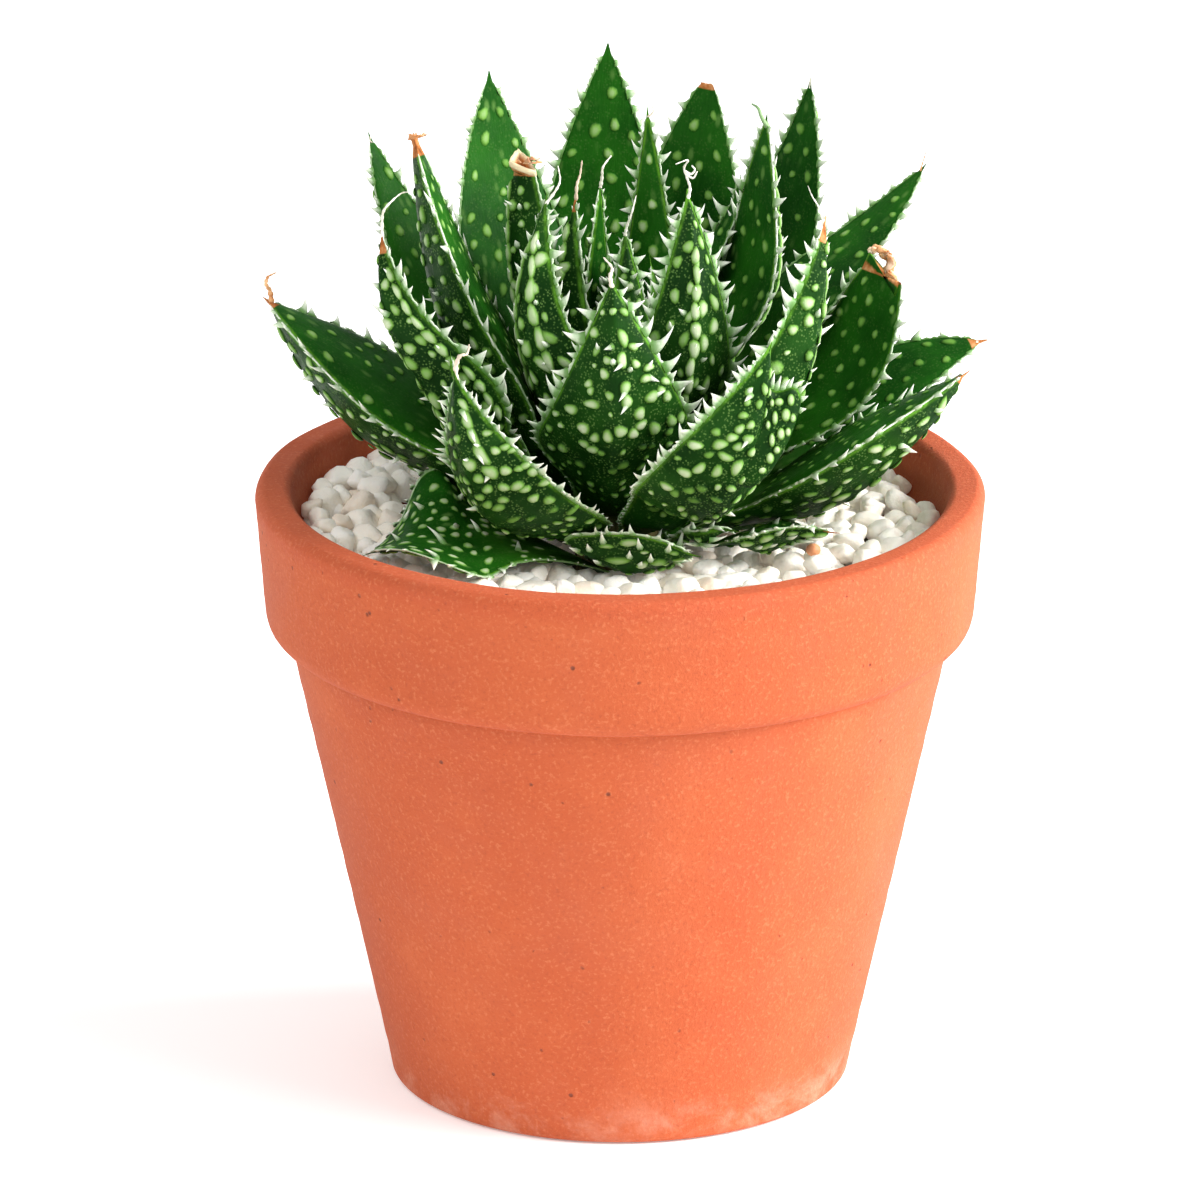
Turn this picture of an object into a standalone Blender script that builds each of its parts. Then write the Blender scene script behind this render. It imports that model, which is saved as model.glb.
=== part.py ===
"""Small lace aloe rosette in a terracotta collar pot with a pebble top dressing.

All lengths in millimetres unless a name ends in _M. Origin at the centre of the
pot's foot, +Z up, front towards -Y.
"""

import math

import bmesh
import bpy
import numpy as np

MM = 0.001

# ---- pot -------------------------------------------------------------------
POT_H = 101.5          # foot to rim
RIM_R = 60.0           # outer radius at the lip
FOOT_R = 38.0          # outer radius at the foot
NECK_R = 54.7          # outer radius of the tapered body, just under the collar
COLLAR_H = 24.0        # height of the collar
COLLAR_LOW_R = 58.5    # outer radius of the collar at its lower edge
COLLAR_EDGE = 4.0      # rounding of the collar's lower edge
LIP = 1.8              # rounding of the lip, outside and inside
WALL_RIM = 6.2         # wall at the rim
WALL = 6.0             # wall of the body
FLOOR = 8.0            # thickness of the floor
DRAIN_R = 9.0          # drain hole
POT_SIDES = 48

# ---- filling ---------------------------------------------------------------
GRAVEL_TOP = POT_H - 6.5     # mean surface of the pebbles
GRAVEL_DEEP = 9.5
SOIL_TOP = GRAVEL_TOP - GRAVEL_DEEP - 0.3
GAP = 0.35                   # clearance between neighbouring pieces
HOLE_R = 17.0                # opening of the gravel round the crown
GRAVEL_DISH = 1.8            # the pebbles lie this much lower round the crown

# ---- crown -----------------------------------------------------------------
CROWN_R = 7.5          # stem radius at the soil
CROWN_TOP_R = 1.6
CROWN_TOP = 27.0       # above the gravel surface
CROWN_LOW = -10.0      # lowest leaf seat, below the gravel surface
ROOT_DEEP = 26.0       # root stock below the soil surface
ROOT_R = 6.0

# ---- leaves ----------------------------------------------------------------
# Leaf points are set out in the front elevation, which looks down by TILT:
# x to the right, h up the elevation from the rosette's centre at the gravel
# surface, y the depth away from the front.
# name: (tip x, h, y), (middle x, h, y), seat height on the crown, width,
#       thickness, roll in degrees, fullness, end ratio, width at the seat
#       against the widest point
TILT = 18.0
LEAVES = {
    "front_centre": ((-1.3, 38.2, -25.0), (-0.2, 16.5, -23.0), 5.0, 25.0, 5.5, 0, 1.0, 0.05, 0.6),
    "front_left": ((-26.5, 23.2, -34.0), (-18.5, 6.0, -27.0), 0.0, 24.0, 5.5, 0, 1.0, 0.05, 0.7),
    "front_right": ((23.9, 27.9, -32.0), (15.0, 9.0, -27.5), 1.0, 25.0, 5.5, 0, 1.0, 0.05, 0.7),
    "low_left": ((-40.5, -4.8, -22.0), (-22.5, -1.6, -19.5), -5.3, 24.0, 3.4, 22, 1.0, 0.05, 1.0),
    "low_front": ((11.5, -5.1, -27.5), (1.6, -4.4, -20.5), -4.6, 22.5, 3.0, 0, 1.05, 0.05, 0.65),
    "low_right": ((34.0, -2.6, -19.0), (20.5, -2.6, -15.5), -4.2, 12.0, 2.8, -4, 1.0, 0.05, 0.6),
    "low_right_small": ((36.7, 3.0, 0.0), (23.0, 3.8, -1.0), -5.0, 8.0, 3.0, 0, 1.0, 0.05, 0.42),
    "far_left": ((-57.2, 35.8, 5.0), (-37.5, 20.3, -1.0), -2.0, 24.0, 9.0, 17, 1.05, 0.05, 0.6),
    "left": ((-38.7, 46.0, -12.0), (-29.2, 20.0, -15.0), 2.0, 20.0, 5.0, -20, 1.05, 0.05, 0.5),
    "left_stump": ((-32.8, 60.5, 5.0), (-21.5, 30.0, -2.0), 6.0, 22.0, 6.5, -8, 1.25, 0.18, 0.42),
    "back_left": ((-41.2, 62.5, 35.0), (-28.5, 34.0, 25.0), -1.0, 18.0, 5.0, 0, 1.0, 0.05, 0.42),
    "back_left_tall": ((-21.6, 72.4, 28.0), (-17.0, 38.0, 20.0), 4.0, 25.0, 4.6, 0, 1.35, 0.05, 0.42),
    "left_cut": ((-15.6, 57.4, 8.0), (-12.5, 34.0, 4.0), 12.0, 16.0, 4.6, 0, 1.35, 0.42, 0.42),
    "centre_left": ((-12.2, 51.8, -10.0), (-13.0, 24.0, -14.5), 8.0, 16.5, 5.0, 0, 1.1, 0.05, 0.42),
    "inner_left": ((-7.3, 52.6, 0.0), (-7.0, 29.0, -5.5), 15.0, 10.0, 4.0, 0, 1.0, 0.05, 0.42),
    "inner_back": ((-3.3, 54.7, 4.0), (-4.0, 32.0, 3.5), 18.0, 8.0, 3.5, 0, 1.0, 0.05, 0.42),
    "back_top": ((-2.1, 77.1, 33.0), (-2.5, 42.0, 27.0), 0.0, 24.0, 4.5, 0, 1.15, 0.05, 0.42),
    "back_cut": ((14.2, 71.5, 22.0), (9.5, 39.0, 14.5), 4.0, 24.0, 4.2, 0, 1.45, 0.12, 0.42),
    "inner_tall": ((4.5, 66.3, 12.0), (5.0, 38.0, 8.0), 13.0, 11.0, 4.0, 0, 1.0, 0.05, 0.42),
    "centre_right": ((11.0, 52.6, -10.0), (10.4, 23.5, -15.5), 7.0, 17.0, 5.0, 28, 1.25, 0.05, 0.42),
    "right_tall": ((23.7, 65.1, 6.0), (18.0, 36.0, 1.0), 7.0, 18.0, 4.3, -22, 1.2, 0.05, 0.42),
    "right_behind": ((20.4, 56.0, 13.8), (17.1, 36.0, 8.2), 9.0, 7.2, 2.3, 0, 1.0, 0.05, 0.42),
    "back_right_tall": ((31.3, 71.4, 33.0), (23.8, 39.5, 27.0), -1.0, 20.0, 4.0, 0, 1.0, 0.05, 0.42),
    "back_right": ((49.6, 57.7, 30.0), (31.5, 33.5, 15.5), -2.0, 17.0, 4.0, -12, 1.0, 0.05, 0.42),
    "right_red_tip": ((33.1, 48.3, -12.0), (24.0, 19.5, -15.0), 1.5, 17.5, 4.8, 10, 1.25, 0.05, 0.42),
    "right_torn": ((42.2, 41.2, 5.0), (29.8, 21.5, 1.0), -1.0, 20.0, 4.0, -30, 1.9, 0.48, 0.42),
    "far_right": ((59.0, 29.5, 18.0), (38.5, 19.5, 12.0), -4.0, 18.0, 4.5, -25, 1.0, 0.05, 0.42),
    "right_front": ((55.5, 24.0, -16.0), (36.0, 12.0, -13.5), -1.5, 19.5, 7.0, -8, 1.1, 0.05, 0.55),
    "heart_front": ((0.8, 46.8, -3.0), (1.5, 28.0, -9.0), 16.0, 9.0, 4.0, 0, 1.0, 0.05, 0.42),
    "heart_right": ((5.0, 42.0, 0.0), (5.5, 30.0, -3.0), 19.0, 8.0, 3.5, 0, 1.0, 0.05, 0.42),
    "heart_left": ((-1.6, 42.4, 1.0), (-1.5, 33.0, 0.0), 21.0, 5.0, 3.0, 0, 1.0, 0.05, 0.42),
    "heart_back": ((2.6, 40.0, 5.0), (2.0, 33.0, 4.0), 21.0, 5.0, 3.0, 0, 1.0, 0.05, 0.42),
    "left_front_small": ((-24.7, 29.2, -17.0), (-19.0, 11.5, -19.0), 1.0, 7.5, 3.2, 0, 1.0, 0.05, 0.42),
    "low_front_small": ((18.2, -0.8, -21.5), (10.4, -0.9, -16.8), -4.5, 6.0, 2.4, 0, 1.0, 0.05, 0.42),
    "hidden_back": ((-6.0, 38.0, 50.0), (-3.5, 20.5, 31.0), -4.5, 17.0, 4.5, 0, 1.0, 0.05, 0.42),
    "hidden_back_right": ((26.0, 32.0, 46.0), (15.0, 19.5, 29.0), -4.5, 16.0, 4.5, 0, 1.0, 0.05, 0.42),
    "hidden_back_left": ((-34.0, 30.0, 42.0), (-20.0, 17.5, 27.0), -4.5, 16.0, 4.5, 0, 1.0, 0.05, 0.42),
    "hidden_side_left": ((-44.0, 25.0, 25.0), (-27.0, 13.5, 17.0), -4.0, 15.0, 4.0, 0, 1.0, 0.05, 0.42),
    "hidden_side_right": ((42.0, 21.0, 30.0), (26.0, 11.5, 22.0), -4.0, 13.0, 3.6, 0, 1.0, 0.05, 0.42),
    "hidden_mid_back": ((6.0, 50.0, 42.0), (3.5, 29.0, 31.0), -2.0, 15.0, 3.8, 0, 1.0, 0.05, 0.42),
    "hidden_mid_left": ((-24.0, 48.0, 36.0), (-17.0, 28.0, 24.0), 0.0, 14.0, 4.0, 0, 1.0, 0.05, 0.42),
    "hidden_mid_right": ((37.0, 43.0, 42.0), (23.0, 25.5, 30.0), -3.0, 13.0, 3.6, 0, 1.0, 0.05, 0.42),
}
LEAF_STATIONS = 11
LEAF_HALF = 4          # points from margin to margin on each face
WIDE_AT = 0.38         # place of the widest point along the leaf
TROUGH = 0.13          # how far the margins rise above the middle, against width
SHIFT_AT = np.linspace(0.0, 1.0, 13)   # places of the sideways shifts along a leaf
SETTLE_STEPS = 80
SETTLE_GAP = 0.32      # clearance between settled leaves
SETTLE_ALONG = 25      # sections looked at along a leaf
SETTLE_ACROSS = 9


def smooth(a, b, x):
    u = np.clip((x - a) / (b - a), 0.0, 1.0)
    return u * u * (3.0 - 2.0 * u)


def crown_radius(h):
    """Radius of the crown at height h above the gravel surface."""
    u = (h - CROWN_LOW) / (CROWN_TOP - CROWN_LOW)
    return CROWN_R + (CROWN_TOP_R - CROWN_R) * max(0.0, min(1.0, u)) ** 1.2


def lift(point):
    """Elevation point (x, h, y) to (x, y, z) above the gravel surface."""
    x, h, y = point
    a = math.radians(TILT)
    return np.array([x, y, (h - y * math.sin(a)) / math.cos(a)])


def leaf_frame(row, t, shift=None):
    """Position, tangent, width direction and inner-face direction at t (array).

    shift holds, for each place in SHIFT_AT, a sideways move of the middle line and
    how far the leaf is pressed thinner and narrower there.
    """
    tip, mid, seat, _width, thick, roll, _full, _end, _base = row
    tip, mid = lift(tip), lift(mid)
    out = np.array([mid[0], mid[1], 0.0])
    out /= np.linalg.norm(out)
    base = out * (crown_radius(seat) + 0.45 * thick * 0.5 + GAP)
    base[2] = seat
    bend = 2.0 * mid - 0.5 * (base + tip)
    t = np.asarray(t, float)
    moved = np.zeros((len(t), 3))
    if shift is not None:
        for axis in range(3):
            moved[:, axis] = np.interp(t, SHIFT_AT, shift[:, axis])
    t = t[:, None]
    pos = (1 - t) ** 2 * base + 2 * t * (1 - t) * bend + t**2 * tip + moved
    tan = 2 * (1 - t) * (bend - base) + 2 * t * (tip - bend)
    tan /= np.linalg.norm(tan, axis=1, keepdims=True)
    inner = np.array([-out[0], -out[1], 1.0])
    side = np.cross(tan, inner)
    side /= np.linalg.norm(side, axis=1, keepdims=True)
    face = np.cross(side, tan)
    turn = np.radians(roll) * smooth(0.0, 0.6, t)
    side, face = side * np.cos(turn) + face * np.sin(turn), face * np.cos(turn) - side * np.sin(turn)
    return pos, tan, side, face


def leaf_width(row, t, shift=None):
    _tip, _mid, _seat, width, _thick, _roll, full, end, base = row
    grow = base + (1 - base) * smooth(0.0, WIDE_AT, t)
    u = np.clip((t - WIDE_AT) / (1 - WIDE_AT), 0.0, 1.0)
    taper = (1 - u ** (1.45 * full)) * (1 - end) + end
    pressed = 1.0 if shift is None else np.interp(t, SHIFT_AT, shift[:, 4])
    return width * grow * taper * pressed


def leaf_thick(row, t, shift=None):
    thick, end = row[4], row[7]
    grow = 0.5 + 0.5 * smooth(0.0, 0.3, t)
    u = np.clip((t - 0.45) / 0.55, 0.0, 1.0)
    pressed = 1.0 if shift is None else np.interp(t, SHIFT_AT, shift[:, 3])
    return thick * grow * ((1 - u**1.8) * (1 - end) + end) * pressed


def leaf_section(width, thick, trough, across):
    """Inner and outer face offsets for across in -1..1, margins at both ends."""
    dish = trough * width * (across**2 - 0.35)
    edge = 0.12 * thick
    body = 1 - np.abs(across) ** 1.7
    inner = dish + 0.30 * thick * body + edge * (1 - across**8)
    keel = 0.22 * thick * np.exp(-((across / 0.28) ** 2))
    outer = dish - 0.62 * thick * body - keel - edge * (1 - across**8)
    return inner, outer


def leaf_trough(t):
    return TROUGH * smooth(0.0, 0.35, t) * (1 - 0.5 * t)


class Leaf:
    """Samples of one leaf, used while the leaves settle between each other."""

    def __init__(self, row):
        self.row = row
        self.shift = np.zeros((len(SHIFT_AT), 5))
        self.shift[:, 3:] = 1.0
        self.place = np.linspace(0.0, 1.0, SETTLE_ALONG)
        self.trough = leaf_trough(self.place)
        self.across = np.linspace(-1.0, 1.0, SETTLE_ACROSS)
        self.update()

    def update(self):
        self.pos, _tan, self.side, self.face = leaf_frame(self.row, self.place, self.shift)
        self.width = leaf_width(self.row, self.place, self.shift)
        self.thick = leaf_thick(self.row, self.place, self.shift)
        inner, outer = leaf_section(
            self.width[:, None], self.thick[:, None], self.trough[:, None], self.across[None, :]
        )
        line = self.pos[:, None] + self.side[:, None] * (self.across[None, :, None] * self.width[:, None, None] / 2)
        both = np.stack([line + self.face[:, None] * v[:, :, None] for v in (inner, outer)], axis=1)
        self.points = both.reshape(-1, 3)
        self.station = np.repeat(np.arange(SETTLE_ALONG), 2 * SETTLE_ACROSS)
        self.low, self.high = self.points.min(0), self.points.max(0)

    def inside(self, points):
        """For each point: section index, and its depth from the inner and outer face."""
        far = ((points[:, None] - self.pos[None]) ** 2).sum(-1)
        k = far.argmin(1)
        rel = points - self.pos[k]
        u, v = (rel * self.side[k]).sum(1), (rel * self.face[k]).sum(1)
        a = 2 * u / self.width[k]
        inner, outer = leaf_section(self.width[k], self.thick[k], self.trough[k], np.clip(a, -1, 1))
        from_inner, from_outer = inner + SETTLE_GAP - v, v - outer + SETTLE_GAP
        hit = (np.abs(u) < self.width[k] / 2 + SETTLE_GAP * 0.7) & (from_inner > 0) & (from_outer > 0)
        return k, hit, from_inner, from_outer


def spread(values, passes):
    """Smooths one row of values for each section along the leaf."""
    for _ in range(passes):
        padded = np.vstack([values[:1], values, values[-1:]])
        values = 0.25 * padded[:-2] + 0.5 * padded[1:-1] + 0.25 * padded[2:]
    return values


def bed_and_crown(leaf):
    """Push for each section that keeps the leaf above the pebbles and off the crown."""
    push = np.zeros((SETTLE_ALONG, 3))
    r = np.hypot(leaf.points[:, 0], leaf.points[:, 1])
    floor = np.where(r > HOLE_R - 1.0, bed_height(r) + SETTLE_GAP, -99.0)
    sunk = np.clip(floor - leaf.points[:, 2], 0.0, 1.5)
    core = np.array([crown_radius(z) for z in leaf.points[:, 2]]) + GAP
    core = np.where(leaf.points[:, 2] < CROWN_TOP, core, 0.0)
    tight = np.clip(core - r, 0.0, 1.0)
    for n in np.nonzero((sunk > 0) | (tight > 0))[0]:
        out = leaf.points[n] * np.array([1.0, 1.0, 0.0]) / max(r[n], 1e-6)
        move = np.array([0.0, 0.0, sunk[n]]) + out * tight[n]
        s = leaf.station[n]
        if np.linalg.norm(move) > np.linalg.norm(push[s]):
            push[s] = move
    return push


def settle(rows):
    """Moves and presses crowded leaves until they only lie against each other."""
    leaves = [Leaf(row) for row in rows]
    hold = np.clip(SHIFT_AT / 0.2, 0.0, 1.0)[:, None]
    for step in range(SETTLE_STEPS):
        pushes = [np.zeros((SETTLE_ALONG, 3)) for _ in leaves]
        marks = [np.zeros((SETTLE_ALONG, 2)) for _ in leaves]
        count = 0
        for i, a in enumerate(leaves):
            for j, b in enumerate(leaves):
                if i == j or (a.low > b.high + 1.0).any() or (b.low > a.high + 1.0).any():
                    continue
                near = ((a.points > b.low - 1.0) & (a.points < b.high + 1.0)).all(1)
                if not near.any():
                    continue
                points, station = a.points[near], a.station[near]
                k, hit, from_inner, from_outer = b.inside(points)
                if not hit.any():
                    continue
                count += int(hit.sum())
                above = from_inner[hit].sum() < from_outer[hit].sum()
                depth = from_inner if above else -from_outer
                depth = np.where(hit, np.clip(depth, -1.2, 1.2), 0.0)
                rim = np.abs(np.tile(a.across, 2 * SETTLE_ALONG))[near] > 0.7
                for n in np.nonzero(hit)[0]:
                    move = b.face[k[n]] * depth[n] * 0.5
                    if np.abs(depth[n]) > np.linalg.norm(pushes[i][station[n]]) * 2:
                        pushes[i][station[n]] = move
                    if np.abs(depth[n]) > np.linalg.norm(pushes[j][k[n]]) * 2:
                        pushes[j][k[n]] = -move
                    marks[i][station[n], 1 if rim[n] else 0] = 1.0
                    marks[j][k[n], 0] = 1.0
        for leaf, push, mark in zip(leaves, pushes, marks):
            push = spread(push, 24) * 1.6 + spread(bed_and_crown(leaf), 8) * 0.8
            for axis in range(3):
                leaf.shift[:, axis] += np.interp(SHIFT_AT, leaf.place, push[:, axis])
            leaf.shift[:, :3] *= hold
            if step >= SETTLE_STEPS // 3:
                mark = spread(mark, 3)
                for c, least in ((0, 0.4), (1, 0.5)):
                    drop = 1 - 0.03 * np.interp(SHIFT_AT, leaf.place, mark[:, c])
                    leaf.shift[:, 3 + c] = np.maximum(least, leaf.shift[:, 3 + c] * drop)
            leaf.update()
        if count == 0:
            break
    return [leaf.shift for leaf in leaves]


def leaf_points(row, shift, stations, half):
    """Closed loft: rings of points from seat to tip, then its faces."""
    t = np.linspace(0.0, 1.0, stations)
    t = t + 0.06 * np.sin(math.pi * t) ** 2 * (1 - 2 * t)
    pos, _tan, side, face = leaf_frame(row, t, shift)
    width, thick = leaf_width(row, t, shift), leaf_thick(row, t, shift)
    ring = 2 * half
    points = []
    for k in range(stations):
        trough = leaf_trough(t[k])
        across = -np.cos(math.pi * np.arange(half + 1) / half)
        inner, outer = leaf_section(width[k], thick[k], trough, across)
        u = across * width[k] / 2
        for j in range(half + 1):
            points.append(pos[k] + side[k] * u[j] + face[k] * inner[j])
        for j in range(half - 1, 0, -1):
            points.append(pos[k] + side[k] * u[j] + face[k] * outer[j])
    faces = [tuple(range(ring))]
    for k in range(stations - 1):
        for j in range(ring):
            a, b = k * ring + j, k * ring + (j + 1) % ring
            faces.append((a, a + ring, b + ring, b))
    last = (stations - 1) * ring
    faces.append(tuple(last + j for j in reversed(range(ring))))
    return np.array(points) + np.array([0, 0, GRAVEL_TOP]), faces


# ---- helpers ---------------------------------------------------------------
def material(name, color, rough):
    mat = bpy.data.materials.new(name)
    mat.use_nodes = True
    shader = mat.node_tree.nodes["Principled BSDF"]
    shader.inputs["Base Color"].default_value = (*color, 1.0)
    shader.inputs["Roughness"].default_value = rough
    mat.diffuse_color = (*color, 1.0)
    return mat


def solid(name, points, faces, mat):
    """Mesh object with outward faces."""
    mesh = bpy.data.meshes.new(name)
    mesh.from_pydata([tuple(p * MM for p in point) for point in points], [], faces)
    shape = bmesh.new()
    shape.from_mesh(mesh)
    bmesh.ops.recalc_face_normals(shape, faces=shape.faces)
    if shape.calc_volume(signed=True) < 0:
        bmesh.ops.reverse_faces(shape, faces=shape.faces)
    shape.to_mesh(mesh)
    shape.free()
    obj = bpy.data.objects.new(name, mesh)
    bpy.context.scene.collection.objects.link(obj)
    mesh.materials.append(mat)
    return obj


def arc(cx, cz, radius, start, end, count):
    """Points on an arc in the (r, z) plane, angles in degrees."""
    step = (end - start) / (count - 1)
    return [
        (
            cx + radius * math.cos(math.radians(start + step * k)),
            cz + radius * math.sin(math.radians(start + step * k)),
        )
        for k in range(count)
    ]


def turned(name, profile, sides, mat, bump=None):
    """Solid of revolution. A closed profile that touches the axis ends in poles."""
    points, rings = [], []
    for r, z in profile:
        if r < 1e-6:
            rings.append([len(points)])
            points.append(np.array([0.0, 0.0, z]))
            continue
        ring = []
        for k in range(sides):
            a = 2 * math.pi * k / sides
            lift_z = bump(r, a, z) if bump else 0.0
            ring.append(len(points))
            points.append(np.array([r * math.cos(a), r * math.sin(a), z + lift_z]))
        rings.append(ring)
    faces = []
    count = len(rings)
    for i in range(count):
        a, b = rings[i], rings[(i + 1) % count]
        if len(a) == 1 and len(b) == 1:
            continue
        for k in range(sides):
            m = (k + 1) % sides
            if len(a) == 1:
                faces.append((a[0], b[m], b[k]))
            elif len(b) == 1:
                faces.append((a[k], a[m], b[0]))
            else:
                faces.append((a[k], a[m], b[m], b[k]))
    return solid(name, points, faces, mat)


# ---- pot -------------------------------------------------------------------
def wall_in(z):
    """Inside radius of the pot at height z."""
    neck = POT_H - COLLAR_H
    if z >= neck:
        u = (z - neck) / COLLAR_H
        low = NECK_R - WALL
        return low + (RIM_R - WALL_RIM - low) * smooth(0.0, 1.0, np.array(u))
    return FOOT_R - WALL + (NECK_R - FOOT_R) * z / neck


def pot_profile():
    neck = POT_H - COLLAR_H
    low = COLLAR_LOW_R - COLLAR_EDGE
    prof = [(DRAIN_R, 0.0), (FOOT_R - 1.2, 0.0), (FOOT_R - 0.35, 0.35), (FOOT_R, 1.2)]
    prof += [(NECK_R, neck)]
    prof += arc(low, neck + COLLAR_EDGE * 0.9, COLLAR_EDGE, -58.0, 0.0, 5)
    prof += [(RIM_R, POT_H - LIP)]
    prof += arc(RIM_R - LIP, POT_H - LIP, LIP, 22.5, 90.0, 4)
    inside = RIM_R - WALL_RIM
    prof += arc(inside + LIP, POT_H - LIP, LIP, 90.0, 180.0, 4)
    for z in (neck + 15.0, neck + 7.0, neck, neck - 25.0, FLOOR + 5.0):
        prof.append((float(wall_in(z)), z))
    prof += [(float(wall_in(FLOOR)) - 4.0, FLOOR), (DRAIN_R, FLOOR)]
    return prof


# ---- soil and gravel -------------------------------------------------------

def soil_profile():
    """Soil with a round pocket for the root stock, open at the top."""
    gap = GAP + 0.15
    pocket_r = CROWN_R + GAP + 0.1
    pocket_low = SOIL_TOP - ROOT_DEEP - 1.0
    low = FLOOR + gap
    prof = [(0.0, low), (float(wall_in(FLOOR)) - 4.3 - gap, low)]
    for z in (FLOOR + 5.5, 30.0, POT_H - COLLAR_H - 25.0, POT_H - COLLAR_H - 0.5):
        prof.append((float(wall_in(z)) - gap, z))
    prof.append((float(wall_in(SOIL_TOP)) - gap - 0.1, SOIL_TOP))
    prof += [(pocket_r, SOIL_TOP), (ROOT_R + GAP + 0.1, pocket_low + 6.0), (ROOT_R * 0.5, pocket_low)]
    prof.append((0.0, pocket_low))
    return prof


def bed_height(r):
    """Highest level of the pebble bed at radius r, against its mean surface."""
    near = 1.0 - smooth(20.0, 46.0, r)
    return 2.0 * (0.55 - 0.3 * near) - GRAVEL_DISH * near - 0.3


def pebble_bump(r, a, z):
    """Uneven pebble surface: crossing waves the size of a pebble."""
    if z < GRAVEL_TOP - 2.0:
        return 0.0
    x, y = r * math.cos(a), r * math.sin(a)
    wave = math.sin(1.15 * x + 1.3 * math.sin(0.7 * y)) + math.sin(1.05 * y + 1.4 * math.sin(0.8 * x + 1.0))
    near = 1.0 - float(smooth(20.0, 46.0, np.array(r)))
    return (0.55 - 0.3 * near) * wave - GRAVEL_DISH * near


def gravel_profile():
    gap = GAP + 0.45
    low = GRAVEL_TOP - GRAVEL_DEEP
    outer_low = float(wall_in(low)) - gap
    outer_top = float(wall_in(GRAVEL_TOP)) - gap
    prof = [(HOLE_R, low), (outer_low, low), (outer_top, GRAVEL_TOP - 2.5)]
    radii = np.linspace(outer_top - 0.6, HOLE_R + 1.0, 10)
    prof += [(float(r), GRAVEL_TOP - 0.4) for r in radii]
    prof.append((HOLE_R, GRAVEL_TOP - 2.5))
    return prof


# ---- crown -----------------------------------------------------------------
def crown_profile():
    root_low = SOIL_TOP - ROOT_DEEP - GRAVEL_TOP
    prof = [(0.0, root_low), (ROOT_R * 0.35, root_low + 1.0), (ROOT_R - 0.4, root_low + 7.0)]
    prof += [(crown_radius(CROWN_LOW), CROWN_LOW)]
    for h in np.linspace(CROWN_LOW + 6.0, CROWN_TOP - 1.5, 6):
        prof.append((crown_radius(h), float(h)))
    prof += [(CROWN_TOP_R * 0.6, CROWN_TOP - 0.4), (0.0, CROWN_TOP)]
    return [(r, z + GRAVEL_TOP) for r, z in prof]


def main():
    for obj in list(bpy.data.objects):
        bpy.data.objects.remove(obj, do_unlink=True)
    bpy.context.scene.unit_settings.scale_length = 1.0
    turned("pot", pot_profile(), POT_SIDES, material("terracotta", (0.72, 0.26, 0.11), 0.85))
    turned("soil", soil_profile(), 40, material("potting_soil", (0.05, 0.032, 0.02), 0.95))
    turned("gravel", gravel_profile(), 56, material("pebbles", (0.78, 0.73, 0.64), 0.7), pebble_bump)
    turned("crown", crown_profile(), 24, material("crown_tissue", (0.30, 0.26, 0.13), 0.8))
    shifts = settle(list(LEAVES.values()))
    for (name, row), shift in zip(LEAVES.items(), shifts):
        points, faces = leaf_points(row, shift, LEAF_STATIONS, LEAF_HALF)
        solid("leaf_" + name, points, faces, material("leaf_skin_" + name, (0.05, 0.16, 0.06), 0.5))


main()
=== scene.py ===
"""Potted lace aloe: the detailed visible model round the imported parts.

Lengths in millimetres in the functions, metres in the meshes.
"""

import math
import random

import bmesh
import bpy
import numpy as np
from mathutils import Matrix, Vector


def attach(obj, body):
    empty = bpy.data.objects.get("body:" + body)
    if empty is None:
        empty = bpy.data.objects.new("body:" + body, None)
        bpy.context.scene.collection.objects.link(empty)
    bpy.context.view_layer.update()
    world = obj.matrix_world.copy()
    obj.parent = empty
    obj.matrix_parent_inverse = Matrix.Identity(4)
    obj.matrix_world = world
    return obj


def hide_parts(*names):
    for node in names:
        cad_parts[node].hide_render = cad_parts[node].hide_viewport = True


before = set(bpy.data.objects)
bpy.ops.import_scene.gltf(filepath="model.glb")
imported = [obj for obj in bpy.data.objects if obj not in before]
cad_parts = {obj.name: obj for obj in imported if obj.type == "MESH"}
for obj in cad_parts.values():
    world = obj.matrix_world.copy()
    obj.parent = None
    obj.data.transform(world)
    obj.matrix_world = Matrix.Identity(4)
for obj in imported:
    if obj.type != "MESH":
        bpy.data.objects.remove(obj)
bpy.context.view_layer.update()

MM = 0.001

# ---- pot -------------------------------------------------------------------
POT_H = 101.5          # foot to rim
RIM_R = 60.0           # outer radius at the lip
FOOT_R = 38.0          # outer radius at the foot
NECK_R = 54.7          # outer radius of the tapered body, just under the collar
COLLAR_H = 24.0        # height of the collar
COLLAR_LOW_R = 58.5    # outer radius of the collar at its lower edge
COLLAR_EDGE = 4.0      # rounding of the collar's lower edge
LIP = 1.8              # rounding of the lip, outside and inside
WALL_RIM = 6.2         # wall at the rim
WALL = 6.0             # wall of the body
FLOOR = 8.0            # thickness of the floor
DRAIN_R = 9.0          # drain hole
POT_SIDES = 48

# ---- filling ---------------------------------------------------------------
GRAVEL_TOP = POT_H - 6.5     # mean surface of the pebbles
GRAVEL_DEEP = 9.5
SOIL_TOP = GRAVEL_TOP - GRAVEL_DEEP - 0.3
GAP = 0.35                   # clearance between neighbouring pieces
HOLE_R = 17.0                # opening of the gravel round the crown
GRAVEL_DISH = 1.8            # the pebbles lie this much lower round the crown

# ---- crown -----------------------------------------------------------------
CROWN_R = 7.5          # stem radius at the soil
CROWN_TOP_R = 1.6
CROWN_TOP = 27.0       # above the gravel surface
CROWN_LOW = -10.0      # lowest leaf seat, below the gravel surface
ROOT_DEEP = 26.0       # root stock below the soil surface
ROOT_R = 6.0

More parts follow.
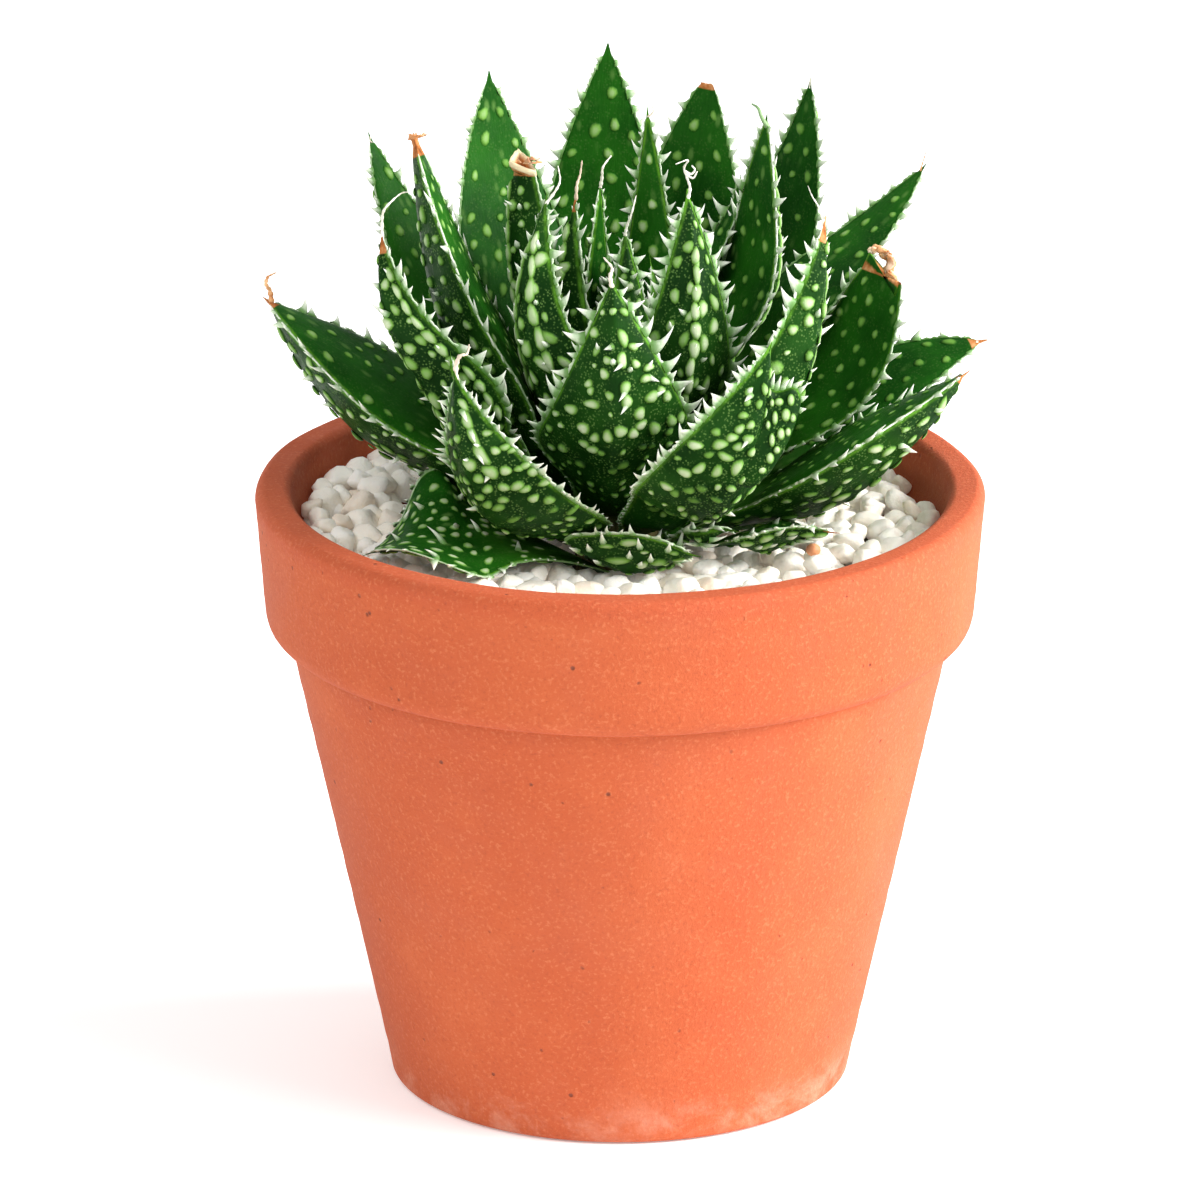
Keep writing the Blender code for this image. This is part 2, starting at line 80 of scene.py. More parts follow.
# ---- leaves ----------------------------------------------------------------
# Leaf points are set out in the front elevation, which looks down by TILT:
# x to the right, h up the elevation from the rosette's centre at the gravel
# surface, y the depth away from the front.
# name: (tip x, h, y), (middle x, h, y), seat height on the crown, width,
#       thickness, roll in degrees, fullness, end ratio, width at the seat
#       against the widest point
TILT = 18.0
LEAVES = {
    "front_centre": ((-1.3, 38.2, -25.0), (-0.2, 16.5, -23.0), 5.0, 25.0, 5.5, 0, 1.0, 0.05, 0.6),
    "front_left": ((-26.5, 23.2, -34.0), (-18.5, 6.0, -27.0), 0.0, 24.0, 5.5, 0, 1.0, 0.05, 0.7),
    "front_right": ((23.9, 27.9, -32.0), (15.0, 9.0, -27.5), 1.0, 25.0, 5.5, 0, 1.0, 0.05, 0.7),
    "low_left": ((-40.5, -4.8, -22.0), (-22.5, -1.6, -19.5), -5.3, 24.0, 3.4, 22, 1.0, 0.05, 1.0),
    "low_front": ((11.5, -5.1, -27.5), (1.6, -4.4, -20.5), -4.6, 22.5, 3.0, 0, 1.05, 0.05, 0.65),
    "low_right": ((34.0, -2.6, -19.0), (20.5, -2.6, -15.5), -4.2, 12.0, 2.8, -4, 1.0, 0.05, 0.6),
    "low_right_small": ((36.7, 3.0, 0.0), (23.0, 3.8, -1.0), -5.0, 8.0, 3.0, 0, 1.0, 0.05, 0.42),
    "far_left": ((-57.2, 35.8, 5.0), (-37.5, 20.3, -1.0), -2.0, 24.0, 9.0, 17, 1.05, 0.05, 0.6),
    "left": ((-38.7, 46.0, -12.0), (-29.2, 20.0, -15.0), 2.0, 20.0, 5.0, -20, 1.05, 0.05, 0.5),
    "left_stump": ((-32.8, 60.5, 5.0), (-21.5, 30.0, -2.0), 6.0, 22.0, 6.5, -8, 1.25, 0.18, 0.42),
    "back_left": ((-41.2, 62.5, 35.0), (-28.5, 34.0, 25.0), -1.0, 18.0, 5.0, 0, 1.0, 0.05, 0.42),
    "back_left_tall": ((-21.6, 72.4, 28.0), (-17.0, 38.0, 20.0), 4.0, 25.0, 4.6, 0, 1.35, 0.05, 0.42),
    "left_cut": ((-15.6, 57.4, 8.0), (-12.5, 34.0, 4.0), 12.0, 16.0, 4.6, 0, 1.35, 0.42, 0.42),
    "centre_left": ((-12.2, 51.8, -10.0), (-13.0, 24.0, -14.5), 8.0, 16.5, 5.0, 0, 1.1, 0.05, 0.42),
    "inner_left": ((-7.3, 52.6, 0.0), (-7.0, 29.0, -5.5), 15.0, 10.0, 4.0, 0, 1.0, 0.05, 0.42),
    "inner_back": ((-3.3, 54.7, 4.0), (-4.0, 32.0, 3.5), 18.0, 8.0, 3.5, 0, 1.0, 0.05, 0.42),
    "back_top": ((-2.1, 77.1, 33.0), (-2.5, 42.0, 27.0), 0.0, 24.0, 4.5, 0, 1.15, 0.05, 0.42),
    "back_cut": ((14.2, 71.5, 22.0), (9.5, 39.0, 14.5), 4.0, 24.0, 4.2, 0, 1.45, 0.12, 0.42),
    "inner_tall": ((4.5, 66.3, 12.0), (5.0, 38.0, 8.0), 13.0, 11.0, 4.0, 0, 1.0, 0.05, 0.42),
    "centre_right": ((11.0, 52.6, -10.0), (10.4, 23.5, -15.5), 7.0, 17.0, 5.0, 28, 1.25, 0.05, 0.42),
    "right_tall": ((23.7, 65.1, 6.0), (18.0, 36.0, 1.0), 7.0, 18.0, 4.3, -22, 1.2, 0.05, 0.42),
    "right_behind": ((20.4, 56.0, 13.8), (17.1, 36.0, 8.2), 9.0, 7.2, 2.3, 0, 1.0, 0.05, 0.42),
    "back_right_tall": ((31.3, 71.4, 33.0), (23.8, 39.5, 27.0), -1.0, 20.0, 4.0, 0, 1.0, 0.05, 0.42),
    "back_right": ((49.6, 57.7, 30.0), (31.5, 33.5, 15.5), -2.0, 17.0, 4.0, -12, 1.0, 0.05, 0.42),
    "right_red_tip": ((33.1, 48.3, -12.0), (24.0, 19.5, -15.0), 1.5, 17.5, 4.8, 10, 1.25, 0.05, 0.42),
    "right_torn": ((42.2, 41.2, 5.0), (29.8, 21.5, 1.0), -1.0, 20.0, 4.0, -30, 1.9, 0.48, 0.42),
    "far_right": ((59.0, 29.5, 18.0), (38.5, 19.5, 12.0), -4.0, 18.0, 4.5, -25, 1.0, 0.05, 0.42),
    "right_front": ((55.5, 24.0, -16.0), (36.0, 12.0, -13.5), -1.5, 19.5, 7.0, -8, 1.1, 0.05, 0.55),
    "heart_front": ((0.8, 46.8, -3.0), (1.5, 28.0, -9.0), 16.0, 9.0, 4.0, 0, 1.0, 0.05, 0.42),
    "heart_right": ((5.0, 42.0, 0.0), (5.5, 30.0, -3.0), 19.0, 8.0, 3.5, 0, 1.0, 0.05, 0.42),
    "heart_left": ((-1.6, 42.4, 1.0), (-1.5, 33.0, 0.0), 21.0, 5.0, 3.0, 0, 1.0, 0.05, 0.42),
    "heart_back": ((2.6, 40.0, 5.0), (2.0, 33.0, 4.0), 21.0, 5.0, 3.0, 0, 1.0, 0.05, 0.42),
    "left_front_small": ((-24.7, 29.2, -17.0), (-19.0, 11.5, -19.0), 1.0, 7.5, 3.2, 0, 1.0, 0.05, 0.42),
    "low_front_small": ((18.2, -0.8, -21.5), (10.4, -0.9, -16.8), -4.5, 6.0, 2.4, 0, 1.0, 0.05, 0.42),
    "hidden_back": ((-6.0, 38.0, 50.0), (-3.5, 20.5, 31.0), -4.5, 17.0, 4.5, 0, 1.0, 0.05, 0.42),
    "hidden_back_right": ((26.0, 32.0, 46.0), (15.0, 19.5, 29.0), -4.5, 16.0, 4.5, 0, 1.0, 0.05, 0.42),
    "hidden_back_left": ((-34.0, 30.0, 42.0), (-20.0, 17.5, 27.0), -4.5, 16.0, 4.5, 0, 1.0, 0.05, 0.42),
    "hidden_side_left": ((-44.0, 25.0, 25.0), (-27.0, 13.5, 17.0), -4.0, 15.0, 4.0, 0, 1.0, 0.05, 0.42),
    "hidden_side_right": ((42.0, 21.0, 30.0), (26.0, 11.5, 22.0), -4.0, 13.0, 3.6, 0, 1.0, 0.05, 0.42),
    "hidden_mid_back": ((6.0, 50.0, 42.0), (3.5, 29.0, 31.0), -2.0, 15.0, 3.8, 0, 1.0, 0.05, 0.42),
    "hidden_mid_left": ((-24.0, 48.0, 36.0), (-17.0, 28.0, 24.0), 0.0, 14.0, 4.0, 0, 1.0, 0.05, 0.42),
    "hidden_mid_right": ((37.0, 43.0, 42.0), (23.0, 25.5, 30.0), -3.0, 13.0, 3.6, 0, 1.0, 0.05, 0.42),
}
LEAF_STATIONS = 11
LEAF_HALF = 4          # points from margin to margin on each face
WIDE_AT = 0.38         # place of the widest point along the leaf
TROUGH = 0.13          # how far the margins rise above the middle, against width
SHIFT_AT = np.linspace(0.0, 1.0, 13)   # places of the sideways shifts along a leaf
SETTLE_STEPS = 80
SETTLE_GAP = 0.32      # clearance between settled leaves
SETTLE_ALONG = 25      # sections looked at along a leaf
SETTLE_ACROSS = 9


def smooth(a, b, x):
    u = np.clip((x - a) / (b - a), 0.0, 1.0)
    return u * u * (3.0 - 2.0 * u)


def crown_radius(h):
    """Radius of the crown at height h above the gravel surface."""
    u = (h - CROWN_LOW) / (CROWN_TOP - CROWN_LOW)
    return CROWN_R + (CROWN_TOP_R - CROWN_R) * max(0.0, min(1.0, u)) ** 1.2


def lift(point):
    """Elevation point (x, h, y) to (x, y, z) above the gravel surface."""
    x, h, y = point
    a = math.radians(TILT)
    return np.array([x, y, (h - y * math.sin(a)) / math.cos(a)])


def leaf_frame(row, t, shift=None):
    """Position, tangent, width direction and inner-face direction at t (array).

    shift holds, for each place in SHIFT_AT, a sideways move of the middle line and
    how far the leaf is pressed thinner and narrower there.
    """
    tip, mid, seat, _width, thick, roll, _full, _end, _base = row
    tip, mid = lift(tip), lift(mid)
    out = np.array([mid[0], mid[1], 0.0])
    out /= np.linalg.norm(out)
    base = out * (crown_radius(seat) + 0.45 * thick * 0.5 + GAP)
    base[2] = seat
    bend = 2.0 * mid - 0.5 * (base + tip)
    t = np.asarray(t, float)
    moved = np.zeros((len(t), 3))
    if shift is not None:
        for axis in range(3):
            moved[:, axis] = np.interp(t, SHIFT_AT, shift[:, axis])
    t = t[:, None]
    pos = (1 - t) ** 2 * base + 2 * t * (1 - t) * bend + t**2 * tip + moved
    tan = 2 * (1 - t) * (bend - base) + 2 * t * (tip - bend)
    tan /= np.linalg.norm(tan, axis=1, keepdims=True)
    inner = np.array([-out[0], -out[1], 1.0])
    side = np.cross(tan, inner)
    side /= np.linalg.norm(side, axis=1, keepdims=True)
    face = np.cross(side, tan)
    turn = np.radians(roll) * smooth(0.0, 0.6, t)
    side, face = side * np.cos(turn) + face * np.sin(turn), face * np.cos(turn) - side * np.sin(turn)
    return pos, tan, side, face


def leaf_width(row, t, shift=None):
    _tip, _mid, _seat, width, _thick, _roll, full, end, base = row
    grow = base + (1 - base) * smooth(0.0, WIDE_AT, t)
    u = np.clip((t - WIDE_AT) / (1 - WIDE_AT), 0.0, 1.0)
    taper = (1 - u ** (1.45 * full)) * (1 - end) + end
    pressed = 1.0 if shift is None else np.interp(t, SHIFT_AT, shift[:, 4])
    return width * grow * taper * pressed


def leaf_thick(row, t, shift=None):
    thick, end = row[4], row[7]
    grow = 0.5 + 0.5 * smooth(0.0, 0.3, t)
    u = np.clip((t - 0.45) / 0.55, 0.0, 1.0)
    pressed = 1.0 if shift is None else np.interp(t, SHIFT_AT, shift[:, 3])
    return thick * grow * ((1 - u**1.8) * (1 - end) + end) * pressed


def leaf_section(width, thick, trough, across):
    """Inner and outer face offsets for across in -1..1, margins at both ends."""
    dish = trough * width * (across**2 - 0.35)
    edge = 0.12 * thick
    body = 1 - np.abs(across) ** 1.7
    inner = dish + 0.30 * thick * body + edge * (1 - across**8)
    keel = 0.22 * thick * np.exp(-((across / 0.28) ** 2))
    outer = dish - 0.62 * thick * body - keel - edge * (1 - across**8)
    return inner, outer


def leaf_trough(t):
    return TROUGH * smooth(0.0, 0.35, t) * (1 - 0.5 * t)


class Leaf:
    """Samples of one leaf, used while the leaves settle between each other."""

    def __init__(self, row):
        self.row = row
        self.shift = np.zeros((len(SHIFT_AT), 5))
        self.shift[:, 3:] = 1.0
        self.place = np.linspace(0.0, 1.0, SETTLE_ALONG)
        self.trough = leaf_trough(self.place)
        self.across = np.linspace(-1.0, 1.0, SETTLE_ACROSS)
        self.update()

    def update(self):
        self.pos, _tan, self.side, self.face = leaf_frame(self.row, self.place, self.shift)
        self.width = leaf_width(self.row, self.place, self.shift)
        self.thick = leaf_thick(self.row, self.place, self.shift)
        inner, outer = leaf_section(
            self.width[:, None], self.thick[:, None], self.trough[:, None], self.across[None, :]
        )
        line = self.pos[:, None] + self.side[:, None] * (self.across[None, :, None] * self.width[:, None, None] / 2)
        both = np.stack([line + self.face[:, None] * v[:, :, None] for v in (inner, outer)], axis=1)
        self.points = both.reshape(-1, 3)
        self.station = np.repeat(np.arange(SETTLE_ALONG), 2 * SETTLE_ACROSS)
        self.low, self.high = self.points.min(0), self.points.max(0)

    def inside(self, points):
        """For each point: section index, and its depth from the inner and outer face."""
        far = ((points[:, None] - self.pos[None]) ** 2).sum(-1)
        k = far.argmin(1)
        rel = points - self.pos[k]
        u, v = (rel * self.side[k]).sum(1), (rel * self.face[k]).sum(1)
        a = 2 * u / self.width[k]
        inner, outer = leaf_section(self.width[k], self.thick[k], self.trough[k], np.clip(a, -1, 1))
        from_inner, from_outer = inner + SETTLE_GAP - v, v - outer + SETTLE_GAP
        hit = (np.abs(u) < self.width[k] / 2 + SETTLE_GAP * 0.7) & (from_inner > 0) & (from_outer > 0)
        return k, hit, from_inner, from_outer


def spread(values, passes):
    """Smooths one row of values for each section along the leaf."""
    for _ in range(passes):
        padded = np.vstack([values[:1], values, values[-1:]])
        values = 0.25 * padded[:-2] + 0.5 * padded[1:-1] + 0.25 * padded[2:]
    return values


def bed_and_crown(leaf):
    """Push for each section that keeps the leaf above the pebbles and off the crown."""
    push = np.zeros((SETTLE_ALONG, 3))
    r = np.hypot(leaf.points[:, 0], leaf.points[:, 1])
    floor = np.where(r > HOLE_R - 1.0, bed_height(r) + SETTLE_GAP, -99.0)
    sunk = np.clip(floor - leaf.points[:, 2], 0.0, 1.5)
    core = np.array([crown_radius(z) for z in leaf.points[:, 2]]) + GAP
    core = np.where(leaf.points[:, 2] < CROWN_TOP, core, 0.0)
    tight = np.clip(core - r, 0.0, 1.0)
    for n in np.nonzero((sunk > 0) | (tight > 0))[0]:
        out = leaf.points[n] * np.array([1.0, 1.0, 0.0]) / max(r[n], 1e-6)
        move = np.array([0.0, 0.0, sunk[n]]) + out * tight[n]
        s = leaf.station[n]
        if np.linalg.norm(move) > np.linalg.norm(push[s]):
            push[s] = move
    return push


def settle(rows):
    """Moves and presses crowded leaves until they only lie against each other."""
    leaves = [Leaf(row) for row in rows]
    hold = np.clip(SHIFT_AT / 0.2, 0.0, 1.0)[:, None]
    for step in range(SETTLE_STEPS):
        pushes = [np.zeros((SETTLE_ALONG, 3)) for _ in leaves]
        marks = [np.zeros((SETTLE_ALONG, 2)) for _ in leaves]
        count = 0
        for i, a in enumerate(leaves):
            for j, b in enumerate(leaves):
                if i == j or (a.low > b.high + 1.0).any() or (b.low > a.high + 1.0).any():
                    continue
                near = ((a.points > b.low - 1.0) & (a.points < b.high + 1.0)).all(1)
                if not near.any():
                    continue
                points, station = a.points[near], a.station[near]
                k, hit, from_inner, from_outer = b.inside(points)
                if not hit.any():
                    continue
                count += int(hit.sum())
                above = from_inner[hit].sum() < from_outer[hit].sum()
                depth = from_inner if above else -from_outer
                depth = np.where(hit, np.clip(depth, -1.2, 1.2), 0.0)
                rim = np.abs(np.tile(a.across, 2 * SETTLE_ALONG))[near] > 0.7
                for n in np.nonzero(hit)[0]:
                    move = b.face[k[n]] * depth[n] * 0.5
                    if np.abs(depth[n]) > np.linalg.norm(pushes[i][station[n]]) * 2:
                        pushes[i][station[n]] = move
                    if np.abs(depth[n]) > np.linalg.norm(pushes[j][k[n]]) * 2:
                        pushes[j][k[n]] = -move
                    marks[i][station[n], 1 if rim[n] else 0] = 1.0
                    marks[j][k[n], 0] = 1.0
        for leaf, push, mark in zip(leaves, pushes, marks):
            push = spread(push, 24) * 1.6 + spread(bed_and_crown(leaf), 8) * 0.8
            for axis in range(3):
                leaf.shift[:, axis] += np.interp(SHIFT_AT, leaf.place, push[:, axis])
            leaf.shift[:, :3] *= hold
            if step >= SETTLE_STEPS // 3:
                mark = spread(mark, 3)
                for c, least in ((0, 0.4), (1, 0.5)):
                    drop = 1 - 0.03 * np.interp(SHIFT_AT, leaf.place, mark[:, c])
                    leaf.shift[:, 3 + c] = np.maximum(least, leaf.shift[:, 3 + c] * drop)
            leaf.update()
        if count == 0:
            break
    return [leaf.shift for leaf in leaves]

def arc(cx, cz, radius, start, end, count):
    """Points on an arc in the (r, z) plane, angles in degrees."""
    step = (end - start) / (count - 1)
    return [
        (
            cx + radius * math.cos(math.radians(start + step * k)),
            cz + radius * math.sin(math.radians(start + step * k)),
        )
        for k in range(count)
    ]


def wall_in(z):
    """Inside radius of the pot at height z."""
    neck = POT_H - COLLAR_H
    if z >= neck:
        u = (z - neck) / COLLAR_H
        low = NECK_R - WALL
        return low + (RIM_R - WALL_RIM - low) * smooth(0.0, 1.0, np.array(u))
    return FOOT_R - WALL + (NECK_R - FOOT_R) * z / neck


def pot_profile():
    neck = POT_H - COLLAR_H
    low = COLLAR_LOW_R - COLLAR_EDGE
    prof = [(DRAIN_R, 0.0), (FOOT_R - 1.2, 0.0), (FOOT_R - 0.35, 0.35), (FOOT_R, 1.2)]
    prof += [(NECK_R, neck)]
    prof += arc(low, neck + COLLAR_EDGE * 0.9, COLLAR_EDGE, -58.0, 0.0, 5)
    prof += [(RIM_R, POT_H - LIP)]
    prof += arc(RIM_R - LIP, POT_H - LIP, LIP, 22.5, 90.0, 4)
    inside = RIM_R - WALL_RIM
    prof += arc(inside + LIP, POT_H - LIP, LIP, 90.0, 180.0, 4)
    for z in (neck + 15.0, neck + 7.0, neck, neck - 25.0, FLOOR + 5.0):
        prof.append((float(wall_in(z)), z))
    prof += [(float(wall_in(FLOOR)) - 4.0, FLOOR), (DRAIN_R, FLOOR)]
    return prof


def bed_height(r):
    """Highest level of the pebble bed at radius r, against its mean surface."""
    near = 1.0 - smooth(20.0, 46.0, r)
    return 2.0 * (0.55 - 0.3 * near) - GRAVEL_DISH * near - 0.3


# ---- camera and its picture plane ---------------------------------------------
VIEW_UP = 18.6          # degrees above the horizon, at the middle of the rim
VIEW_FAR = 2200.0       # to the middle of the rim
VIEW_SCALE = 13398.0    # focal length in pictures of 1200 x 1200
VIEW_MID = (621.2, 484.0)   # where the middle of the rim shows
SIDE_PX = 1200.0


class View:
    """The camera, so that a detail seen in the picture can be put on the surface."""

    def __init__(self):
        up = math.radians(VIEW_UP)
        self.eye = np.array([0.0, -VIEW_FAR * math.cos(up), POT_H + VIEW_FAR * math.sin(up)])
        down = up + math.atan((SIDE_PX / 2 - VIEW_MID[1]) / VIEW_SCALE)
        yaw = -math.atan((VIEW_MID[0] - SIDE_PX / 2) / VIEW_SCALE)
        self.ahead = np.array([math.sin(yaw) * math.cos(down), math.cos(yaw) * math.cos(down), -math.sin(down)])
        self.right = np.cross(self.ahead, [0.0, 0.0, 1.0])
        self.right /= np.linalg.norm(self.right)
        self.up = np.cross(self.right, self.ahead)

    def show(self, points):
        rel = np.asarray(points) - self.eye
        far = rel @ self.ahead
        x = SIDE_PX / 2 + VIEW_SCALE * (rel @ self.right) / far
        y = SIDE_PX / 2 - VIEW_SCALE * (rel @ self.up) / far
        return np.stack([x, y], axis=-1)

    def reach(self, x, y, depth):
        """Point on the upright plane Y = depth that shows at (x, y)."""
        ray = (
            self.ahead
            + self.right * (x - SIDE_PX / 2) / VIEW_SCALE
            - self.up * (y - SIDE_PX / 2) / VIEW_SCALE
        )
        return self.eye + ray * (depth - self.eye[1]) / ray[1]


VIEW = View()


def unit(v):
    v = np.asarray(v, float)
    return v / np.maximum(np.linalg.norm(v, axis=-1, keepdims=True), 1e-9)


# ---- mesh building --------------------------------------------------------------
POINT_VALUES = ("lf_in", "lf_t", "lf_edge", "lf_spot", "lf_dry", "lf_tone")


class Build:
    """Gathers the points, faces and point values of one piece."""

    def __init__(self):
        self.points, self.faces, self.slots = [], [], []
        self.values = {name: [] for name in POINT_VALUES}
        self.flat = []
        self.count = 0

    def add(self, points, faces, slot=0, flat=None, **values):
        points = np.asarray(points, float)
        n = len(points)
        self.points.append(points)
        for name in POINT_VALUES:
            self.values[name].append(np.broadcast_to(np.asarray(values.get(name, 0.0), float), (n,)))
        self.flat.append(np.zeros((n, 3)) if flat is None else flat)
        at = self.count
        self.faces.extend(tuple(i + at for i in face) for face in faces)
        self.slots.extend([slot] * len(faces))
        self.count += n

    def piece(self, name, mats, smooth=True):
        mesh = bpy.data.meshes.new(name)
        points = np.concatenate(self.points) * MM
        mesh.from_pydata(points.tolist(), [], self.faces)
        shape = bmesh.new()
        shape.from_mesh(mesh)
        bmesh.ops.recalc_face_normals(shape, faces=shape.faces)
        shape.to_mesh(mesh)
        shape.free()
        for mat in mats:
            mesh.materials.append(mat)
        mesh.polygons.foreach_set("material_index", self.slots)
        if smooth:
            mesh.polygons.foreach_set("use_smooth", [True] * len(mesh.polygons))
        for key in POINT_VALUES:
            values = np.concatenate(self.values[key])
            if np.any(values != values[0]) or values[0]:
                layer = mesh.attributes.new(key, "FLOAT", "POINT")
                layer.data.foreach_set("value", values.astype(np.float32))
        flat = np.concatenate(self.flat)
        if np.any(flat):
            layer = mesh.attributes.new("lf_flat", "FLOAT_VECTOR", "POINT")
            layer.data.foreach_set("vector", flat.astype(np.float32).ravel())
        mesh.update()
        obj = bpy.data.objects.new(name, mesh)
        bpy.context.scene.collection.objects.link(obj)
        return obj


def loft_faces(rings, ring, first=None, last=None):
    """Quads between closed rings of points; first and last close an end on a point."""
    faces = []
    for k in range(rings - 1):
        for j in range(ring):
            a, b = k * ring + j, k * ring + (j + 1) % ring
            faces.append((a, a + ring, b + ring, b))
    if first is not None:
        faces.extend((first, j, (j + 1) % ring) for j in range(ring))
    if last is not None:
        at = (rings - 1) * ring
        faces.extend((last, at + (j + 1) % ring, at + j) for j in range(ring))
    return faces


HORN_AT = np.array([-0.14, 0.10, 0.34, 0.60, 0.83])


def horn(build, base, out, along, up, length, width, thick, hook, rise, slot=1, sides=6, dry=0.0, tone=0.0):
    """Curved, pointed tooth that flares into what it stands on."""
    q = HORN_AT
    qp = np.clip(q, 0.0, 1.0)
    centre = base + np.outer(length * q, out) + np.outer(hook * length * qp**1.8, along) + np.outer(rise * length * qp**1.8, up)
    w = width / 2 * ((1 - qp) ** 0.9 + 0.28 * np.exp(-qp * 9.0))
    h = thick / 2 * ((1 - qp) ** 0.75 + 0.2 * np.exp(-qp * 9.0))
    ang = 2 * np.pi * np.arange(sides) / sides
    ring = (
        centre[:, None]
        + along[None, None] * (w[:, None] * np.cos(ang)[None])[:, :, None]
        + up[None, None] * (h[:, None] * np.sin(ang)[None])[:, :, None]
    )
    tip = base + out * length + along * hook * length + up * rise * length
    points = np.concatenate([ring.reshape(-1, 3), tip[None]])
    spot = np.concatenate([np.repeat(np.clip(q, 0, 1), sides), [1.0]])
    faces = loft_faces(len(q), sides, last=len(points) - 1)
    build.add(points, faces, slot, lf_spot=spot, lf_dry=dry, lf_tone=tone)


def tube(build, path, radii, slot, sides=6, dry=0.0, spot=1.0, flatten=1.0):
    """Round or flattened thread along a path of points, pointed at its end."""
    path = np.asarray(path, float)
    tan = unit(np.gradient(path, axis=0))
    a = unit(np.cross(tan, [0.3, 1.0, 0.2]))
    b = np.cross(tan, a)
    ang = 2 * np.pi * np.arange(sides) / sides
    r = np.asarray(radii, float)[:, None, None]
    ring = path[:, None] + a[:, None] * np.cos(ang)[None, :, None] * r + b[:, None] * np.sin(ang)[None, :, None] * r * flatten
    points = np.concatenate([ring.reshape(-1, 3), (path[-1] + tan[-1] * radii[-1] * 1.5)[None], (path[0] - tan[0] * radii[0] * 0.5)[None]])
    n = len(path)
    faces = loft_faces(n, sides, first=len(points) - 1, last=len(points) - 2)
    dry = np.broadcast_to(np.asarray(dry, float), (n,)).repeat(sides)
    dry = np.concatenate([dry, dry[-1:], dry[:1]])
    build.add(points, faces, slot, lf_spot=spot, lf_dry=dry)


def curve_through(points, count):
    """Smooth path through points (Catmull-Rom)."""
    p = np.asarray(points, float)
    p = np.vstack([2 * p[0] - p[1], p, 2 * p[-1] - p[-2]])
    n = len(p) - 3
    out = []
    for s in np.linspace(0, n - 1e-6, count):
        k = int(s)
        u = s - k
        a, b, c, d = p[k : k + 4]
        out.append(
            0.5 * (2 * b + (c - a) * u + (2 * a - 5 * b + 4 * c - d) * u**2 + (3 * b - a - 3 * c + d) * u**3)
        )
    return np.array(out)


# ---- leaves ---------------------------------------------------------------------
class Blade:
    """One settled leaf with its surface as a function of place."""

    def __init__(self, name, row, shift):
        self.name, self.row, self.shift = name, row, shift
        self.rand = random.Random("blade " + name)
        self.line = np.linspace(0.0, 1.0, 161)
        pos = leaf_frame(row, self.line, shift)[0]
        steps = np.linalg.norm(np.diff(pos, axis=0), axis=1)
        self.run = np.concatenate([[0.0], np.cumsum(steps)])
        self.length = float(self.run[-1])
        self.seen = None

    def t_at(self, mm):
        return np.interp(mm, self.run, self.line)

    def mm_at(self, t):
        return np.interp(t, self.line, self.run)

    def width(self, t):
        return leaf_width(self.row, np.atleast_1d(np.asarray(t, float)), self.shift)

    def at(self, t, a, outer):
        t, a, outer = np.broadcast_arrays(np.asarray(t, float), np.asarray(a, float), np.asarray(outer, bool))
        shape = t.shape
        t, a, outer = t.ravel(), a.ravel(), outer.ravel()
        pos, _tan, side, face = leaf_frame(self.row, t, self.shift)
        width, thick = leaf_width(self.row, t, self.shift), leaf_thick(self.row, t, self.shift)
        inner, under = leaf_section(width, thick, leaf_trough(t), a)
        off = np.where(outer, under, inner)
        p = pos + side * (a * width / 2)[:, None] + face * off[:, None]
        p[:, 2] += GRAVEL_TOP
        return p.reshape(shape + (3,))

    def normal(self, t, a, outer):
        t, a, outer = np.broadcast_arrays(np.asarray(t, float), np.asarray(a, float), np.asarray(outer, bool))
        e = 0.004
        dt = self.at(np.clip(t + e, 0, 1), a, outer) - self.at(np.clip(t - e, 0, 1), a, outer)
        da = self.at(t, np.clip(a + 0.03, -1, 1), outer) - self.at(t, np.clip(a - 0.03, -1, 1), outer)
        n = unit(np.cross(dt, da))
        face = leaf_frame(self.row, t.ravel(), self.shift)[3].reshape(t.shape + (3,))
        want = np.where(outer[..., None], -face, face)
        return n * np.sign((n * want).sum(-1, keepdims=True) + 1e-9)

    def find(self, x, y):
        """(t, a, outer) of the surface point that shows nearest to picture place (x, y)."""
        if self.seen is None:
            t, a = np.meshgrid(np.linspace(0.02, 1.0, 90), np.linspace(-0.97, 0.97, 33), indexing="ij")
            t, a = np.tile(t.ravel(), 2), np.tile(a.ravel(), 2)
            outer = np.repeat([True, False], len(t) // 2)
            p, n = self.at(t, a, outer), self.normal(t, a, outer)
            facing = (n * (VIEW.eye - p)).sum(1) > 0
            self.seen = t[facing], a[facing], outer[facing], VIEW.show(p[facing])
        t, a, outer, px = self.seen
        k = ((px - np.array([x, y])) ** 2).sum(1).argmin()
        return float(t[k]), float(a[k]), bool(outer[k])


